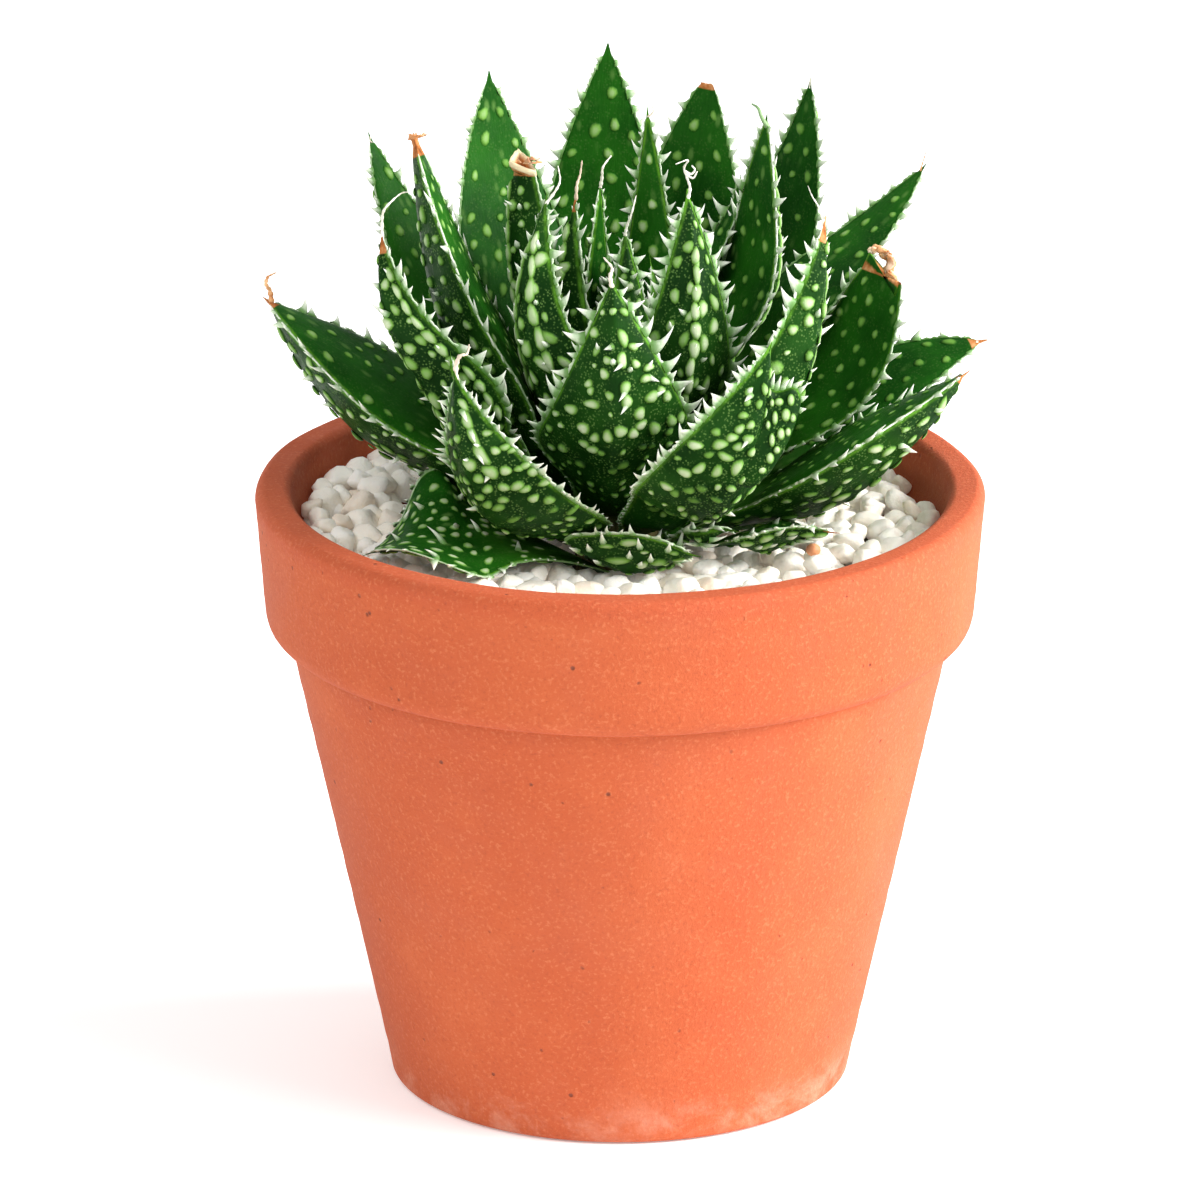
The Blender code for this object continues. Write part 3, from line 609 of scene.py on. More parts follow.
def blade_skin(build, blade, tone, dry_tip, end_rings, dim, slant=0.0, puff=1.0):
    """The leaf's body as a closed loft, with its end: a point, or the rings of a cut."""
    stations = int(np.clip(blade.length / 1.0, 22, 64))
    half = int(np.clip(blade.row[3] / 1.5, 7, 14))
    t = np.linspace(0.0, 1.0, stations)
    t = t + 0.05 * np.sin(math.pi * t) ** 2 * (1 - 2 * t)
    across = -np.cos(math.pi * np.arange(half + 1) / half)
    a = np.concatenate([across, across[-2:0:-1]])
    outer = np.concatenate([np.zeros(half + 1, bool), np.ones(half - 1, bool)])
    ring = 2 * half
    tt, aa = np.meshgrid(t, a, indexing="ij")
    oo = np.broadcast_to(outer, tt.shape)
    points = blade.at(tt, aa, oo)
    width = leaf_width(blade.row, t, blade.shift)[:, None]
    edge = (1 - np.abs(aa)) * width / 2 + dim
    mm = blade.mm_at(tt)
    # soft unevenness of the flesh, held off the margins
    n1, n2 = blade.rand.uniform(0, 6), blade.rand.uniform(0, 6)
    swell = np.sin(mm * 0.55 + n1 + 2.0 * aa) * 0.5 + np.sin(mm * 0.27 + n2 - 3.1 * aa) * 0.5
    swell *= 0.10 * (1 - np.abs(aa) ** 4) * smooth(0.08, 0.25, tt)
    centre = points.mean(axis=1, keepdims=True)
    points = points - unit(points - centre) * np.abs(swell)[..., None]
    inside = (~oo).astype(float) * np.ones_like(tt)
    inside = np.where(np.abs(aa) > 0.999, 0.5, inside)
    dry = smooth(-dry_tip - 0.8, -dry_tip + 0.5, mm - blade.length) if dry_tip else np.zeros_like(tt)
    flat = np.stack([aa * width / 2, mm, np.full_like(mm, (hash_of(blade.name) % 97) * 7.0) + 40.0 * oo], axis=-1)
    values = {
        "lf_in": inside.ravel(),
        "lf_t": tt.ravel(),
        "lf_edge": edge.ravel(),
        "lf_dry": dry.ravel(),
    }
    rings = stations
    pts = [points.reshape(-1, 3)]
    flats = [flat.reshape(-1, 3)]
    middle = points[-1].mean(axis=0)
    tan = unit(leaf_frame(blade.row, np.array([1.0]), blade.shift)[1][0])
    extra = {name: [values[name]] for name in values}
    for scale, rise, dryness in end_rings:
        wob = np.array([blade.rand.uniform(-1, 1) for _ in range(ring)])
        rough = 0.22 * min(dryness, 1.0) if scale > 0.4 and dryness > 0.5 else 0.0
        lean = slant * aa[-1] * width[-1, 0] / 2
        away = points[-1] - middle
        if puff != 1.0:
            face = leaf_frame(blade.row, np.array([1.0]), blade.shift)[3][0]
            away = away + np.outer(away @ face, face) * (puff - 1.0) * min(1.0, max(0.0, rise) / 1.2)
        more = middle + away * scale + tan * (rise + rough * wob + lean * scale)[:, None]
        pts.append(more)
        flats.append(flat[-1] + np.array([0.0, rise, 0.0]))
        for name in values:
            extra[name].append(values[name][-ring:] if name != "lf_dry" else np.full(ring, dryness))
        rings += 1
    last_scale, last_rise, last_dry = end_rings[-1]
    pts.append((middle + tan * (last_rise + 0.15 * (1 if last_scale < 0.4 else -1)))[None])
    flats.append(flats[-1][:1])
    foot = points[0].mean(axis=0)
    pts.append(foot[None])
    flats.append(flat[0, :1])
    for name in values:
        extra[name].append(extra[name][-1][:1])
        extra[name].append(values[name][:1])
    total = rings * ring
    faces = loft_faces(rings, ring, first=total + 1, last=total)
    build.add(
        np.concatenate(pts), faces, 0, flat=np.concatenate(flats), lf_tone=tone,
        **{name: np.concatenate(extra[name]) for name in values}
    )


def hash_of(text):
    value = 7
    for letter in text:
        value = (value * 131 + ord(letter)) % 1000003
    return value


DOME = ((1.0, 0.0, -0.10), (0.84, 0.34, 0.42), (0.58, 0.74, 0.80), (0.28, 0.96, 0.97))


def bump(build, blade, t, a, outer, wide, tall, high, pale=1.0, turn=0.0, tone=0.0, sides=10, dry=0.0):
    """Raised pale spot on the leaf: wide across and tall along the leaf, in mm."""
    ang = 2 * np.pi * np.arange(sides) / sides
    rings, spots, highs = [], [], []
    ct, st = math.cos(turn), math.sin(turn)
    n1, n2 = blade.rand.uniform(0, 6.3), blade.rand.uniform(0, 6.3)
    uneven = 1 + 0.10 * np.sin(2 * ang + n1) + 0.08 * np.sin(3 * ang + n2)
    for r, spot, rise in DOME:
        rings.append(np.stack([r * uneven * np.cos(ang) * wide / 2, r * uneven * np.sin(ang) * tall / 2], axis=1))
        spots += [spot * pale] * sides
        highs += [rise * high] * sides
    flat = np.concatenate(rings + [np.zeros((1, 2))])
    flat = np.stack([flat[:, 0] * ct - flat[:, 1] * st, flat[:, 0] * st + flat[:, 1] * ct], axis=1)
    spots.append(pale)
    highs.append(high)
    here = blade.mm_at(t)
    tt = blade.t_at(np.clip(here + flat[:, 1], 0.0, blade.length))
    width = blade.width(tt)
    aa = np.clip(a + flat[:, 0] / (width / 2), -0.995, 0.995)
    base = blade.at(tt, aa, outer)
    norm = blade.normal(tt, aa, outer)
    points = base + norm * np.array(highs)[:, None]
    n = len(DOME)
    faces = loft_faces(n, sides, last=len(points) - 1)
    if not outer:
        faces = [face[::-1] for face in faces]
    flat3 = np.stack([aa * width / 2, blade.mm_at(tt), np.full(len(tt), (hash_of(blade.name) % 97) * 7.0 + 40.0 * outer)], axis=1)
    build.add(
        points, faces, 0, flat=flat3,
        lf_in=0.0 if outer else 1.0, lf_t=tt, lf_edge=(1 - np.abs(aa)) * width / 2,
        lf_spot=np.array(spots), lf_tone=tone, lf_dry=dry,
    )


def spine(build, blade, t, a, outer, length, wide, lean=(0.0, 1.0), lie=0.4, tone=0.0):
    """Conical spine on the surface. lean is its slant across and along; lie 0 stands, 1 lies."""
    p = blade.at(np.array([t]), np.array([a]), outer)[0]
    n = blade.normal(np.array([t]), np.array([a]), outer)[0]
    _pos, tan, side, _face = (v[0] for v in leaf_frame(blade.row, np.array([t]), blade.shift))
    way = unit(side * lean[0] + tan * lean[1])
    out = unit(n * (1 - lie) + way * lie)
    along = unit(way - out * (way @ out)) if lie < 0.95 else n
    across = np.cross(out, along)
    horn(build, p - n * 0.05, out, unit(across), along, length, wide, wide, 0.0, 0.30, tone=tone)


def margin(build, blade, sign, teeth, band, tone=0.0, pale=0.4):
    """Pale fringe along one margin, widened where the teeth stand.

    teeth: list of (mm along, length). band: function of t for its plain width.
    """
    count = int(np.clip(blade.length / 0.55, 30, 120))
    t = np.linspace(0.02, 0.995, count)
    mm = blade.mm_at(t)
    pos = blade.at(t, np.full(count, float(sign)), False)
    root = blade.at(t, np.full(count, sign * 0.93), False) * 0.5 + blade.at(t, np.full(count, sign * 0.93), True) * 0.5
    _p, tan, side, face = leaf_frame(blade.row, t, blade.shift)
    out = unit(side * sign + face * 0.28)
    wide = np.array([band(v) for v in t])
    for place, length in teeth:
        wide = np.maximum(wide, 0.26 * length * np.exp(-(((mm - place) / (0.30 * length + 0.25)) ** 2)))
    saw = 0.50 * (np.mod(mm * 0.83 + 0.3 * np.sin(mm * 0.9), 1.0) - 0.3) * (wide < 1.2)
    saw = saw + 0.10 * np.sin(mm * 1.37 + 2.0) * np.sin(mm * 0.53)
    wide = np.maximum(wide + saw, 0.12)
    end = smooth(0.0, 0.04, t) * (1 - smooth(0.975, 1.0, t) * 0.7)
    wide = wide * end
    rim = pos + out * wide[:, None]
    mid = pos * 0.45 + rim * 0.55
    up = unit(np.cross(tan, out)) * (1 if sign > 0 else -1)
    fat = (0.13 + 0.05 * np.minimum(wide, 1.5))[:, None] * end[:, None]
    ring = np.stack([root, mid + up * fat, rim, mid - up * fat], axis=1)
    pale = pale * (0.25 + 1.15 * smooth(0.3, 0.75, t)) * (0.75 + 0.35 * np.sin(mm * 0.9 + sign) * np.sin(mm * 0.37))
    spot = np.stack([np.zeros(count), pale * 0.5, pale, pale * 0.5], axis=1)
    faces = loft_faces(count, 4)
    faces += [(0, 1, 2, 3), tuple(4 * (count - 1) + j for j in (3, 2, 1, 0))]
    build.add(ring.reshape(-1, 3), faces, 1, lf_spot=spot.ravel(), lf_tone=tone)


def toothed_margin(build, blade, sign, lo, hi, longest, step, band, tone=0.0, hook=0.45, low=0.3, pale=0.4, sides=6):
    """Teeth along one margin from lo to hi (in t), longest in the upper part."""
    rand = blade.rand
    place = blade.mm_at(lo) + rand.uniform(0.2, 1.0)
    last = float(blade.mm_at(hi))
    teeth = []
    while place < last:
        t = float(blade.t_at(place))
        size = longest * (low + (1 - low) * float(smooth(0.2, 0.6, np.array(t)))) * (1 - 0.5 * float(smooth(0.88, 1.0, np.array(t))))
        size *= rand.choice((0.55, 0.8, 0.9, 1.0, 1.0, 1.1, 1.2)) * rand.uniform(0.88, 1.12)
        teeth.append((place, size))
        place += step * (0.42 + 0.58 * size / longest) * rand.uniform(0.6, 1.45)
    margin(build, blade, sign, teeth, band, tone, pale)
    for place, size in teeth:
        t = float(blade.t_at(place))
        one = np.array([t])
        p = blade.at(one, np.array([float(sign)]), False)[0]
        _p, tan, side, face = (v[0] for v in leaf_frame(blade.row, one, blade.shift))
        slant = rand.uniform(-0.1, 0.55)
        out = unit(side * sign + face * rand.uniform(-0.25, 0.6) + tan * slant)
        along = unit(tan - out * (tan @ out))
        up = np.cross(along, out)
        horn(
            build, p + out * 0.1 * size, out, along, up, size, 0.70 * size ** 0.8 + 0.28, 0.32 + 0.14 * size,
            hook * rand.uniform(0.1, 1.5), rand.uniform(-0.35, 0.45), tone=tone, sides=sides,
        )
    return teeth


def scatter(blade, lo, hi, gap_across, gap_along, reach, keep, tries=900):
    """Dart-thrown places (t, a) with an oval clearance, in mm, thinned by keep(t, a)."""
    rand = blade.rand
    found = []
    for _ in range(tries):
        mm = rand.uniform(float(blade.mm_at(lo)), float(blade.mm_at(hi)))
        t = float(blade.t_at(mm))
        half = float(blade.width(t)[0]) / 2
        if half < 1.6:
            continue
        u = rand.uniform(-1, 1) * (half - reach)
        if abs(u) > half - reach or rand.random() > keep(t, u / half):
            continue
        if all(((u - v) / gap_across) ** 2 + ((mm - m) / gap_along) ** 2 > 1 for m, v in found):
            found.append((mm, u))
    return [(float(blade.t_at(m)), u / (float(blade.width(float(blade.t_at(m)))[0]) / 2)) for m, u in found]


# ---- materials --------------------------------------------------------------------
class Mat:
    """Short calls for building one node material."""

    def __init__(self, name):
        self.mat = bpy.data.materials.new(name)
        self.mat.use_nodes = True
        self.tree = self.mat.node_tree
        self.shader = self.tree.nodes["Principled BSDF"]
        self.coords = self.tree.nodes.new("ShaderNodeTexCoord").outputs["Object"]

    def plug(self, socket, value):
        if hasattr(value, "is_output"):
            self.tree.links.new(value, socket)
        elif isinstance(value, tuple) and len(value) == 3 and socket.type == "RGBA":
            socket.default_value = (*value, 1.0)
        else:
            socket.default_value = value

    def value(self, name):
        node = self.tree.nodes.new("ShaderNodeAttribute")
        node.attribute_type = "GEOMETRY"
        node.attribute_name = name
        return node.outputs["Fac"]

    def vector(self, name):
        node = self.tree.nodes.new("ShaderNodeAttribute")
        node.attribute_type = "GEOMETRY"
        node.attribute_name = name
        return node.outputs["Vector"]

    def math(self, op, a, b=0.0, clamp=False):
        node = self.tree.nodes.new("ShaderNodeMath")
        node.operation = op
        node.use_clamp = clamp
        self.plug(node.inputs[0], a)
        self.plug(node.inputs[1], b)
        return node.outputs[0]

    def step(self, x, lo, hi, to_lo=0.0, to_hi=1.0):
        """Smooth change from to_lo to to_hi as x goes from lo to hi."""
        node = self.tree.nodes.new("ShaderNodeMapRange")
        node.interpolation_type = "SMOOTHSTEP"
        for socket, value in zip(node.inputs[:5], (x, lo, hi, to_lo, to_hi)):
            self.plug(socket, value)
        return node.outputs[0]

    def mix(self, fac, a, b, blend="MIX"):
        node = self.tree.nodes.new("ShaderNodeMix")
        node.data_type = "RGBA"
        node.blend_type = blend
        self.plug(node.inputs[0], fac)
        self.plug(node.inputs[6], a)
        self.plug(node.inputs[7], b)
        return node.outputs[2]

    def stretch(self, vector, scale):
        node = self.tree.nodes.new("ShaderNodeVectorMath")
        node.operation = "MULTIPLY"
        self.plug(node.inputs[0], vector)
        self.plug(node.inputs[1], scale)
        return node.outputs[0]

    def noise(self, scale, detail=3.0, rough=0.55, vector=None, warp=0.0):
        node = self.tree.nodes.new("ShaderNodeTexNoise")
        self.plug(node.inputs["Vector"], vector or self.coords)
        node.inputs["Scale"].default_value = scale
        node.inputs["Detail"].default_value = detail
        node.inputs["Roughness"].default_value = rough
        node.inputs["Distortion"].default_value = warp
        return node.outputs["Fac"]

    def cells(self, scale, vector=None, feature="F1", soft=0.0, spread=1.0):
        node = self.tree.nodes.new("ShaderNodeTexVoronoi")
        node.feature = feature
        self.plug(node.inputs["Vector"], vector or self.coords)
        node.inputs["Scale"].default_value = scale
        node.inputs["Randomness"].default_value = spread
        if feature == "SMOOTH_F1":
            node.inputs["Smoothness"].default_value = soft
        return node.outputs["Distance"]

    def ramp(self, fac, stops):
        node = self.tree.nodes.new("ShaderNodeValToRGB")
        self.plug(node.inputs[0], fac)
        band = node.color_ramp
        while len(band.elements) < len(stops):
            band.elements.new(0.5)
        for element, (place, colour) in zip(band.elements, stops):
            element.position = place
            element.color = (*colour, 1.0)
        return node.outputs[0]

    def relief(self, height, distance, strength=1.0, under=None):
        node = self.tree.nodes.new("ShaderNodeBump")
        node.inputs["Strength"].default_value = strength
        node.inputs["Distance"].default_value = distance
        self.plug(node.inputs["Height"], height)
        if under is not None:
            self.plug(node.inputs["Normal"], under)
        return node.outputs[0]

    def finish(self, colour, rough, normal=None, **fixed):
        self.plug(self.shader.inputs["Base Color"], colour)
        self.plug(self.shader.inputs["Roughness"], rough)
        if normal is not None:
            self.plug(self.shader.inputs["Normal"], normal)
        for name, value in fixed.items():
            self.shader.inputs[name.replace("_", " ")].default_value = value
        return self.mat


def leaf_skin():
    """Leaf skin: dark speckled back, brighter inner face, pale raised spots, bright margin line."""
    m = Mat("aloe_skin")
    inner, t, edge = m.value("lf_in"), m.value("lf_t"), m.value("lf_edge")
    spot, dry, tone = m.value("lf_spot"), m.value("lf_dry"), m.value("lf_tone")
    flat = m.vector("lf_flat")
    broad = m.noise(90.0, 3.0)
    fine = m.noise(900.0, 3.0)
    fibre = m.noise(1.0, 4.0, 0.6, m.stretch(flat, (2.6, 0.28, 1.0)))
    # outer face, nearly black-green with a bluish cast
    back = m.mix(m.step(broad, 0.35, 0.7), (0.0042, 0.027, 0.0030), (0.0115, 0.058, 0.0060))
    back = m.mix(m.step(t, 0.40, 0.0), back, (0.012, 0.085, 0.006))
    # inner face, brighter leaf green, streaked along the leaf
    face = m.mix(m.step(broad, 0.3, 0.7), (0.0045, 0.050, 0.0030), (0.0120, 0.098, 0.0050))
    face = m.mix(m.step(fibre, 0.42, 0.72, 0.0, 0.18), face, (0.030, 0.135, 0.014))
    face = m.mix(m.step(t, 0.5, 0.0), face, (0.040, 0.165, 0.010))
    # soft long pale flecks that lie in the inner face
    fleck = m.cells(1.0, m.stretch(flat, (0.46, 0.23, 1.0)), "F1")
    fleck = m.math("MULTIPLY", m.step(fleck, 0.34, 0.10), m.step(m.noise(120.0, 2.0), 0.40, 0.60))
    face = m.mix(m.math("MULTIPLY", fleck, 0.45), face, (0.15, 0.30, 0.07))
    skin = m.mix(inner, back, face)
    # pale dots, a tenth to a fifth of a millimetre
    dots = m.cells(2050.0)
    dots = m.math("MULTIPLY", m.step(dots, 0.46, 0.20), m.step(m.noise(420.0, 2.0), 0.36, 0.58))
    dots = m.math("MULTIPLY", dots, m.step(t, 0.05, 0.35, 0.15, 1.0))
    dots = m.math("MULTIPLY", dots, m.step(inner, 0.0, 1.0, 0.80, 0.22))
    skin = m.mix(dots, skin, (0.090, 0.185, 0.042))
    # the leaf's own tone, lighter or darker
    skin = m.mix(m.step(tone, 0.0, 1.0, 0.0, 0.6), skin, (0.030, 0.17, 0.010))
    skin = m.mix(m.step(tone, 0.0, -1.0, 0.0, 0.6), skin, (0.004, 0.016, 0.006))
    # bright line along the margin
    line = m.step(edge, 0.62, 0.14)
    line = m.math("MULTIPLY", line, m.step(m.noise(420.0, 2.0), 0.35, 0.65, 0.30, 1.0))
    skin = m.mix(line, skin, (0.105, 0.29, 0.022))
    # raised pale spots: green round the foot, cream-green at the top
    ring = m.mix(m.step(spot, 0.02, 0.50), skin, (0.150, 0.325, 0.055))
    top = m.mix(m.step(broad, 0.3, 0.7), (0.36, 0.48, 0.25), (0.56, 0.64, 0.43))
    skin = m.mix(m.step(spot, 0.36, 1.0), ring, top)
    # dried tissue
    straw = m.ramp(m.noise(420.0, 4.0, 0.6), [(0.25, (0.13, 0.035, 0.012)), (0.5, (0.42, 0.15, 0.045)), (0.75, (0.68, 0.40, 0.19))])
    ragged = m.math("ADD", dry, m.math("MULTIPLY", m.math("SUBTRACT", m.noise(260.0, 3.0), 0.5), 0.55))
    ragged = m.math("MULTIPLY", m.step(ragged, 0.35, 0.6), m.step(dry, 0.0, 0.1))
    skin = m.mix(ragged, skin, straw)
    skin = m.mix(m.step(dry, 1.15, 1.9), skin, (0.80, 0.66, 0.42))
    rough = m.math("ADD", m.step(fine, 0.3, 0.7, 0.36, 0.50), m.math("MULTIPLY", ragged, 0.35))
    height = m.math("ADD", m.math("MULTIPLY", fibre, 0.5), m.math("MULTIPLY", fine, 0.35))
    height = m.math("ADD", height, m.math("MULTIPLY", dots, 0.35))
    return m.finish(skin, rough, m.relief(height, 0.00022, 0.55), IOR=1.12, Specular_IOR_Level=0.5)


def leaf_horn():
    """Margin fringe, teeth and spines: green and waxy at the foot, white at the points."""
    m = Mat("aloe_teeth")
    spot, dry, tone = m.value("lf_spot"), m.value("lf_dry"), m.value("lf_tone")
    broad, fine = m.noise(200.0, 3.0), m.noise(1500.0, 3.0)
    foot = m.mix(m.step(broad, 0.3, 0.7), (0.075, 0.215, 0.030), (0.135, 0.29, 0.070))
    foot = m.mix(m.step(tone, 0.0, -1.0, 0.0, 0.5), foot, (0.08, 0.20, 0.06))
    mid = m.mix(m.step(fine, 0.3, 0.7), (0.38, 0.52, 0.31), (0.52, 0.63, 0.44))
    tip = (0.84, 0.88, 0.76)
    colour = m.mix(m.step(spot, 0.0, 0.30), foot, mid)
    colour = m.mix(m.step(spot, 0.25, 0.75), colour, tip)
    straw = m.ramp(m.noise(500.0, 4.0, 0.6), [(0.25, (0.16, 0.05, 0.02)), (0.5, (0.45, 0.17, 0.05)), (0.75, (0.72, 0.45, 0.22))])
    colour = m.mix(m.step(dry, 0.1, 0.9), colour, straw)
    rough = m.step(fine, 0.3, 0.7, 0.34, 0.5)
    mat = m.finish(colour, rough, m.relief(fine, 0.00010, 0.5), IOR=1.45, Specular_IOR_Level=0.35)
    return mat


def dried_thread():
    """Papery dried tissue: cut rings, torn edges and threads."""
    m = Mat("aloe_dried")
    spot, dry = m.value("lf_spot"), m.value("lf_dry")
    coarse = m.noise(330.0, 5.0, 0.65)
    straw = m.ramp(coarse, [(0.28, (0.17, 0.045, 0.015)), (0.45, (0.50, 0.19, 0.055)), (0.62, (0.76, 0.45, 0.22)), (0.8, (0.90, 0.76, 0.55))])
    white = m.mix(m.step(coarse, 0.3, 0.7), (0.74, 0.70, 0.56), (0.90, 0.88, 0.80))
    colour = m.mix(m.step(dry, 0.0, 1.0), white, straw)
    return m.finish(colour, m.step(coarse, 0.3, 0.7, 0.6, 0.85), m.relief(m.noise(1300.0, 4.0), 0.00025, 0.7))


def terracotta():
    """Fired clay: soft blotches, fine grain, dark pits, a white bloom at the foot, painted shade down the inside wall.
    """
    m = Mat("terracotta_fired")
    spot, edge, dry = m.value("lf_spot"), m.value("lf_edge"), m.value("lf_dry")
    wide = m.noise(16.0, 4.0, 0.6, warp=0.6)
    cloud = m.noise(60.0, 5.0, 0.62)
    grain = m.noise(1500.0, 3.0, 0.6)
    sand = m.noise(5200.0, 2.0, 0.5)
    clay = m.ramp(wide, [(0.30, (0.435, 0.074, 0.018)), (0.5, (0.465, 0.085, 0.022)), (0.70, (0.495, 0.099, 0.028))])
    clay = m.mix(m.step(cloud, 0.45, 0.75, 0.0, 0.30), clay, (0.58, 0.142, 0.052))
    clay = m.mix(m.step(cloud, 0.46, 0.22, 0.0, 0.30), clay, (0.41, 0.066, 0.017))
    # redder, rubbed smooth on the lip
    clay = m.mix(m.step(edge, 0.0, 1.0, 0.0, 0.55), clay, (0.450, 0.073, 0.021))
    # grain and small dark pits
    clay = m.mix(m.step(grain, 0.52, 0.72, 0.0, 0.42), clay, (0.62, 0.200, 0.085))
    clay = m.mix(m.step(grain, 0.45, 0.25, 0.0, 0.42), clay, (0.30, 0.048, 0.014))
    pits = m.cells(420.0)
    band = m.math("MULTIPLY", m.value("lf_tone"), 0.13)
    pits = m.math("MULTIPLY", m.step(pits, 0.20, 0.07), m.step(m.math("ADD", m.noise(260.0, 2.0), band), 0.60, 0.70))
    clay = m.mix(m.math("MULTIPLY", pits, 0.8), clay, (0.13, 0.030, 0.016))
    # lime bloom, strongest round the foot
    bloom = m.noise(85.0, 6.0, 0.7, warp=0.4)
    bloom = m.math("MULTIPLY", m.step(bloom, 0.44, 0.74), m.step(spot, 0.0, 1.0, 0.02, 0.42))
    clay = m.mix(bloom, clay, (0.74, 0.42, 0.30))
    # inside the pot: painted shade, darker down the inside wall below the lip
    clay = m.mix(m.step(dry, 0.0, 1.0, 0.0, 0.5), clay, (0.42, 0.090, 0.032))
    height = m.math("ADD", m.math("MULTIPLY", grain, 0.7), m.math("MULTIPLY", sand, 0.3))
    height = m.math("SUBTRACT", height, m.math("MULTIPLY", pits, 1.6))
    rough = m.step(cloud, 0.3, 0.7, 0.78, 0.92)
    return m.finish(clay, rough, m.relief(height, 0.00035, 0.7), IOR=1.45, Specular_IOR_Level=0.55)


def pebble_stone():
    """White to cream tumbled marble, each pebble a little different, with a faint painted glow that lifts the shade
    between them.
    """
    m = Mat("pebble_marble")
    tone, dry = m.value("lf_tone"), m.value("lf_dry")
    cloud, vein = m.noise(170.0, 5.0, 0.6), m.noise(420.0, 4.0, 0.6, warp=1.2)
    grain = m.noise(2600.0, 3.0)
    stone = m.ramp(tone, [(0.0, (0.97, 0.93, 0.87)), (0.4, (0.96, 0.90, 0.81)), (0.75, (0.93, 0.86, 0.76)), (1.0, (0.86, 0.73, 0.60))])
    stone = m.mix(m.step(cloud, 0.4, 0.7, 0.0, 0.28), stone, (0.90, 0.79, 0.63))
    stone = m.mix(m.step(vein, 0.62, 0.70, 0.0, 0.25), stone, (0.62, 0.48, 0.38))
    stone = m.mix(m.step(grain, 0.5, 0.7, 0.0, 0.25), stone, (0.94, 0.93, 0.90))
    bead = m.mix(m.step(cloud, 0.3, 0.7), (0.62, 0.20, 0.07), (0.78, 0.36, 0.16))
    stone = m.mix(m.step(dry, 0.4, 0.6), stone, bead)
    height = m.math("ADD", m.math("MULTIPLY", cloud, 1.2), m.math("MULTIPLY", grain, 0.35))
    # the faint warm emission is a painted glow that lifts the shade between the pebbles
    return m.finish(stone, m.step(cloud, 0.3, 0.7, 0.42, 0.66), m.relief(height, 0.00045, 0.8), IOR=1.5,
                    Subsurface_Weight=0.22, Subsurface_Radius=(1.0, 0.8, 0.6), Subsurface_Scale=0.0016,
                    Emission_Color=(1.0, 0.90, 0.78, 1.0), Emission_Strength=0.035)


def potting_soil():
    m = Mat("potting_mix")
    crumbs = m.cells(330.0, feature="SMOOTH_F1", soft=0.4)
    cloud, grain = m.noise(110.0, 5.0, 0.65), m.noise(1300.0, 3.0)
    soil = m.ramp(crumbs, [(0.1, (0.070, 0.042, 0.024)), (0.45, (0.036, 0.021, 0.012)), (0.8, (0.012, 0.007, 0.004))])
    soil = m.mix(m.step(cloud, 0.5, 0.7, 0.0, 0.6), soil, (0.10, 0.065, 0.040))
    perlite = m.math("MULTIPLY", m.step(m.cells(260.0), 0.22, 0.14), m.step(m.noise(190.0, 1.0), 0.62, 0.66))
    soil = m.mix(perlite, soil, (0.72, 0.70, 0.64))
    height = m.math("ADD", m.math("MULTIPLY", crumbs, -1.0), m.math("MULTIPLY", grain, 0.4))
    return m.finish(soil, m.step(cloud, 0.3, 0.7, 0.85, 0.97), m.relief(height, 0.0012, 0.8))


def crown_tissue():
    m = Mat("crown_rind")
    fibre = m.noise(1.0, 5.0, 0.65, m.stretch(m.coords, (900.0, 900.0, 160.0)))
    bands = m.noise(1.0, 3.0, 0.5, m.stretch(m.coords, (60.0, 60.0, 620.0)))
    rind = m.ramp(fibre, [(0.3, (0.060, 0.050, 0.016)), (0.5, (0.165, 0.150, 0.045)), (0.75, (0.34, 0.27, 0.12))])
    rind = m.mix(m.step(bands, 0.55, 0.68, 0.0, 0.6), rind, (0.070, 0.035, 0.015))
    height = m.math("ADD", fibre, m.math("MULTIPLY", bands, 0.8))
    return m.finish(rind, m.step(fibre, 0.3, 0.7, 0.65, 0.85), m.relief(height, 0.0005, 0.7))


def studio_floor():
    m = Mat("studio_floor")
    cloud = m.noise(3.0, 2.0)
    colour = m.mix(m.step(cloud, 0.2, 0.8), (0.96, 0.96, 0.96), (0.98, 0.98, 0.98))
    return m.finish(colour, m.step(cloud, 0.3, 0.7, 0.85, 0.9), Emission_Color=(1.0, 1.0, 1.0, 1.0), Emission_Strength=0.22)


# ---- how each leaf is dressed -------------------------------------------------------
POINTED = ((0.78, 0.45, 0.0), (0.50, 1.05, 0.0), (0.22, 1.7, 0.0))
BROWN_POINT = ((0.80, 0.45, 1.0), (0.55, 1.05, 1.0), (0.25, 1.7, 1.0))
CUT_RING = (
    (1.0, 0.2, 0.2), (1.02, 0.6, 0.9), (1.10, 1.0, 1.6), (1.12, 1.5, 2.1), (1.0, 1.8, 2.1), (0.82, 1.4, 1.6),
    (0.68, 0.5, 1.1), (0.50, -0.4, 0.9), (0.2, -0.8, 0.9),
)
STUMP = ((0.86, 0.4, 0.5), (0.66, 1.0, 1.0), (0.62, 2.0, 1.0), (0.74, 2.6, 1.0), (0.70, 3.1, 1.5), (0.45, 2.7, 1.0), (0.2, 2.3, 1.0))
FLAT_CUT = ((0.90, 0.15, 0.8), (0.80, 0.35, 1.2), (0.60, 0.42, 1.2), (0.3, 0.35, 1.0))
TORN = ((0.98, 0.1, 0.0), (0.92, 0.2, 0.15), (0.75, 0.25, 0.35), (0.45, 0.2, 0.5), (0.2, 0.1, 0.6))

